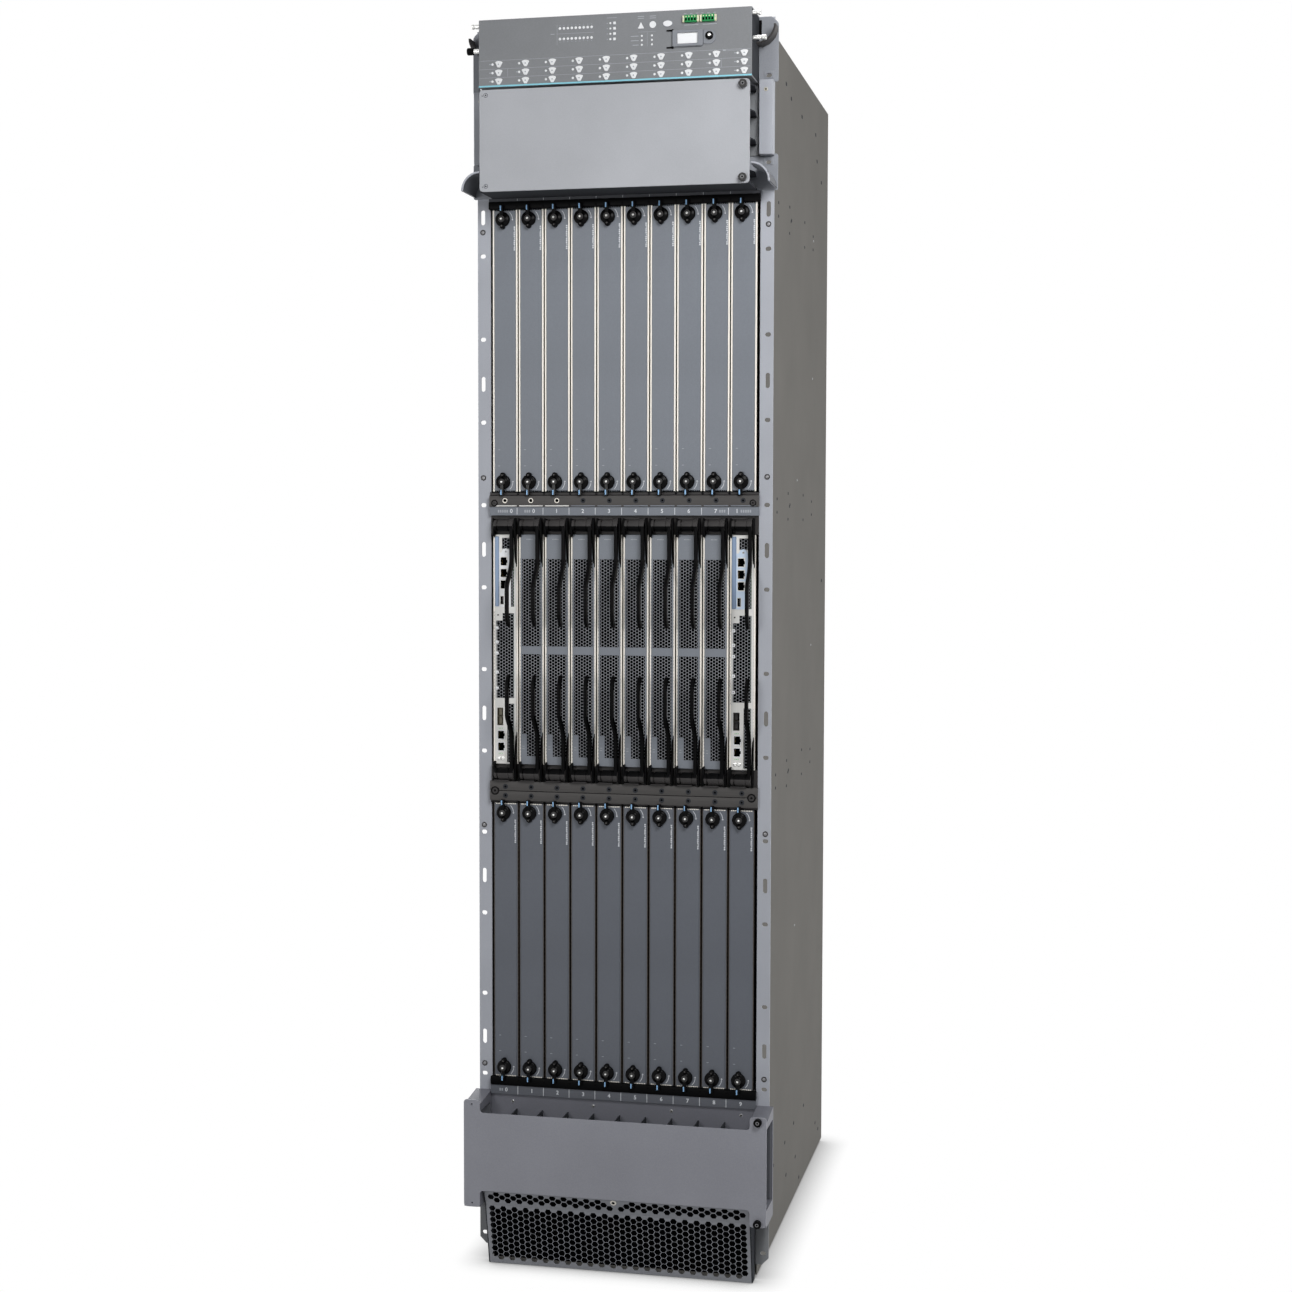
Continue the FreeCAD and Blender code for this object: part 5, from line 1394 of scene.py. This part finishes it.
def fan_tray(name, x, half, z0, z1, pull_below):
    """Fan tray with three fans, and its handle below or above them."""
    shape = Shape()
    pull_room, margin, fans = 76, 14, 3
    room = (z1 - z0 - pull_room - margin) / fans
    base = z0 + (pull_room if pull_below else margin)
    pull_z = z0 + margin if pull_below else z1 - pull_room
    radius = room / 2 - 3
    centres = [base + (k + 0.5) * room for k in range(fans)]
    rear_face_plate(shape, x - half, x + half, z0, z1, [circle(x, z, radius, 40) for z in centres])
    for z in centres:
        fan(shape, x, z, radius)
        for a, b in product(BOTH_SIDES, repeat=2):
            rivet(shape, x + a * radius * 0.8, REAR_FACE, z + b * radius * 0.8, BACKWARD, 3.0, "steel")
    rear_pull(shape, x, pull_z)
    level = pull_z + PULL_HEIGHT / 2
    for side in BOTH_SIDES:
        rear_stud(shape, ((5.5, 0), (5.5, 9), (4.6, 10), (1.0, 10)), x + side * 92, level, "steel", 20)
        rear_stud(shape, ((1.8, 0), (1.6, 0.7), (0.4, 1.0)), x + side * 30, level, "lamp", 12)
    put_fixed(name, shape, "fan_trays")


def fan_trays():
    """Four fan trays; their handles meet at the middle of the rack."""
    middle, gap = HEIGHT / 2, 0.3
    for level, z0, z1 in (("lower", 503.2, middle - gap), ("upper", middle + gap, 1497.0)):
        for column in range(2):
            name = "fan_tray_%s_%d" % (level, column + 1)
            fan_tray(name, (column - 0.5) * HALF_INNER, HALF_INNER / 2 - gap, z0, z1, level == "upper")


def supply_module(width, height):
    """Power supply: perforated zinc face with a pull, a lamp row and two screws."""
    shape = Shape()
    half = width / 2
    holes = [hexagon(x, z, 5.2) for x, z in hexagon_centres(-half + 8, half - 8, 34, height - 100, 6.4)]
    rear_face_plate(shape, -half, half, 0, height, holes)
    shape.beam(half - 3, REAR_FACE - 9, REAR_FACE - 8, 24, height - 90, "dark", 0.2)
    rear_pull(shape, 0, height - 76)
    for z in (12, height - 86):
        rear_stud(shape, ((4.2, 0), (4.2, 6), (3.4, 7), (0.8, 7)), half - 9, z, "steel", 18)
    for k in range(3):
        rear_stud(shape, ((1.5, 0), (1.3, 0.6), (0.3, 0.8)), -half + 7 + k * 5, 13, "lamp", 12)
    return shape.mesh("supply_module")


def distribution_module(width, height):
    """Power distribution module: two groups of inlet sockets beside a pull."""
    shape = Shape()
    half = width / 2
    places = [18 + k * 19.5 for k in range(4)]
    inlets = [-half + place for place in places] + [half - place for place in places]
    mouths = [soft_rectangle(x - 7.2, x + 7.2, 26, 66, 2.0, 3) for x in inlets]
    rear_face_plate(shape, -half, half, 0, height, mouths)
    for x, mouth in zip(inlets, mouths):
        opening(shape, mouth, REAR_FACE - 2, REAR_FACE - 22, "black")
        shape.mark(mouth, REAR_FACE - 21.5, "dark")
        for z in (36, 56):
            shape.block(x - 3.6, x + 3.6, REAR_FACE - 21, REAR_FACE - 5, z - 1.6, z + 1.6, "gold", 0.3)
        rear_stud(shape, ((1.4, 0), (1.2, 0.6), (0.3, 0.8)), x, 74, "lamp", 12)
    rear_pull(shape, 0, height - 76)
    screw = ((4.6, 0), (4.6, 7), (3.8, 8), (0.9, 8))
    for side in BOTH_SIDES:
        rear_stud(shape, screw, side * (half - 10), height - 10, "steel", 18)
    return shape.mesh("distribution_module")


def power_modules():
    """Two rows of nine power supplies and the wider distribution modules beyond them."""
    columns, gap = 9, 0.6
    cell = 2 * HALF_INNER / columns
    supply = supply_module(cell - gap, 380)
    distribution = distribution_module(HALF_INNER - gap, 96)
    rows = (("supply", supply, columns, cell, (("lower", 122.6), ("upper", 1497.65))),
            ("distribution", distribution, 2, HALF_INNER, (("lower", 26.0), ("upper", 1878.25))))
    for kind, mesh, count, pitch, levels in rows:
        for (level, z), column in product(levels, range(count)):
            x = -HALF_INNER + (column + 0.5) * pitch
            name = "%s_%s_%d" % (kind, level, column + 1)
            put(name, mesh, "chassis", "power_modules", (x, 0, z))


def midplane():
    """The wiring board keeps its solid and gets a solder mask finish."""
    board = frame["nodes"]["midplane"]
    board.data.materials.clear()
    board.data.materials.append(materials["circuit"])


def seen_background(tree, shown, lit, output):
    """Feed an output with one shader for rays that see the background and another for rays that light."""
    path = add_node(tree, "ShaderNodeLightPath", {}).outputs
    seen = math_node(tree, "MAXIMUM", path["Is Camera Ray"], path["Is Glossy Ray"])
    through = math_node(tree, "MAXIMUM", seen, path["Is Transmission Ray"])
    mix = add_node(tree, "ShaderNodeMixShader", {"Fac": through, 1: lit.outputs[0], 2: shown.outputs[0]})
    feed(tree, tree.nodes[output], {"Surface": mix.outputs[0]})


def world():
    """White to the eye, and a weak even light on the object."""
    sky = bpy.data.worlds.new("studio")
    bpy.context.scene.world = sky
    sky.use_nodes = True
    tree = sky.node_tree
    lit = tree.nodes["Background"]
    feed(tree, lit, {"Color": (0.94, 0.97, 1.0, 1.0), "Strength": 0.1})
    shown = add_node(tree, "ShaderNodeBackground", {"Color": (1.0, 1.0, 1.0, 1.0), "Strength": 1.0})
    seen_background(tree, shown, lit, "World Output")


def floor():
    """Pale floor that looks white and keeps a soft contact shadow."""
    half, level = 30.0, -0.001
    mesh = bpy.data.meshes.new("floor")
    mesh.from_pydata([(x, y, level) for x, y in rectangle(-half, half, -half, half)], [], [(0, 1, 2, 3)])
    material = bpy.data.materials.new("floor")
    material.use_nodes = True
    tree = material.node_tree
    lit = tree.nodes["Principled BSDF"]
    feed(tree, lit, {"Base Color": (0.5, 0.5, 0.5, 1.0), "Roughness": 0.9})
    near = add_node(tree, "ShaderNodeAmbientOcclusion", {"Distance": 0.06})
    shown = add_node(tree, "ShaderNodeEmission", {"Color": near.outputs["Color"]})
    seen_background(tree, shown, lit, "Material Output")
    mesh.materials.append(material)
    ground = bpy.data.objects.new("floor", mesh)
    bpy.context.scene.collection.objects.link(ground)


def softbox(name, place, aim, size, power):
    """Square soft lamp that looks at a point."""
    lamp = bpy.data.lights.new(name, "AREA")
    lamp.shape = "RECTANGLE"
    lamp.size = size
    lamp.size_y = size
    lamp.energy = power
    holder = bpy.data.objects.new(name, lamp)
    holder.location = place
    holder.rotation_euler = (Vector(aim) - Vector(place)).to_track_quat("-Z", "Y").to_euler()
    holder.visible_camera = False
    bpy.context.scene.collection.objects.link(holder)


def camera():
    """Camera at the place and with the lens of the photograph."""
    lens = bpy.data.cameras.new("photo_camera")
    lens.lens = 57.85
    lens.sensor_width = 36.0
    holder = bpy.data.objects.new("photo_camera", lens)
    holder.location = (0.75345, -3.24066, 1.20234)
    holder.rotation_euler = [math.radians(angle) for angle in (86.798, -0.116, 12.46)]
    bpy.context.scene.collection.objects.link(holder)
    bpy.context.scene.camera = holder


def studio():
    """Camera, background, floor and lamps."""
    camera()
    world()
    floor()
    softbox("key", (1.0, -1.6, 2.3), (0.0, 0.0, 1.3), 0.9, 30.0)
    softbox("front", (-0.95, -3.2, 1.45), (0.0, 0.0, 1.1), 0.5, 20.0)
    softbox("right", (3.8, 1.0, 0.9), (0.2, 0.3, 0.9), 2.2, 58.0)
    softbox("left", (-3.8, 1.0, 0.9), (-0.2, 0.3, 0.9), 2.2, 58.0)
    softbox("back", (-0.8, 4.6, 2.0), (0.0, 0.8, 1.0), 2.2, 80.0)
    softbox("top", (0.0, 0.45, 4.2), (0.0, 0.45, 2.0), 0.9, 34.0)
    bpy.context.scene.view_settings.view_transform = "Standard"


chassis_shell()
midplane()
ejector_rails()
line_cards()
boards()
handles()
craft_panel()
upper_tray()
lower_tray()
covers()
grille()
fan_trays()
power_modules()
studio()
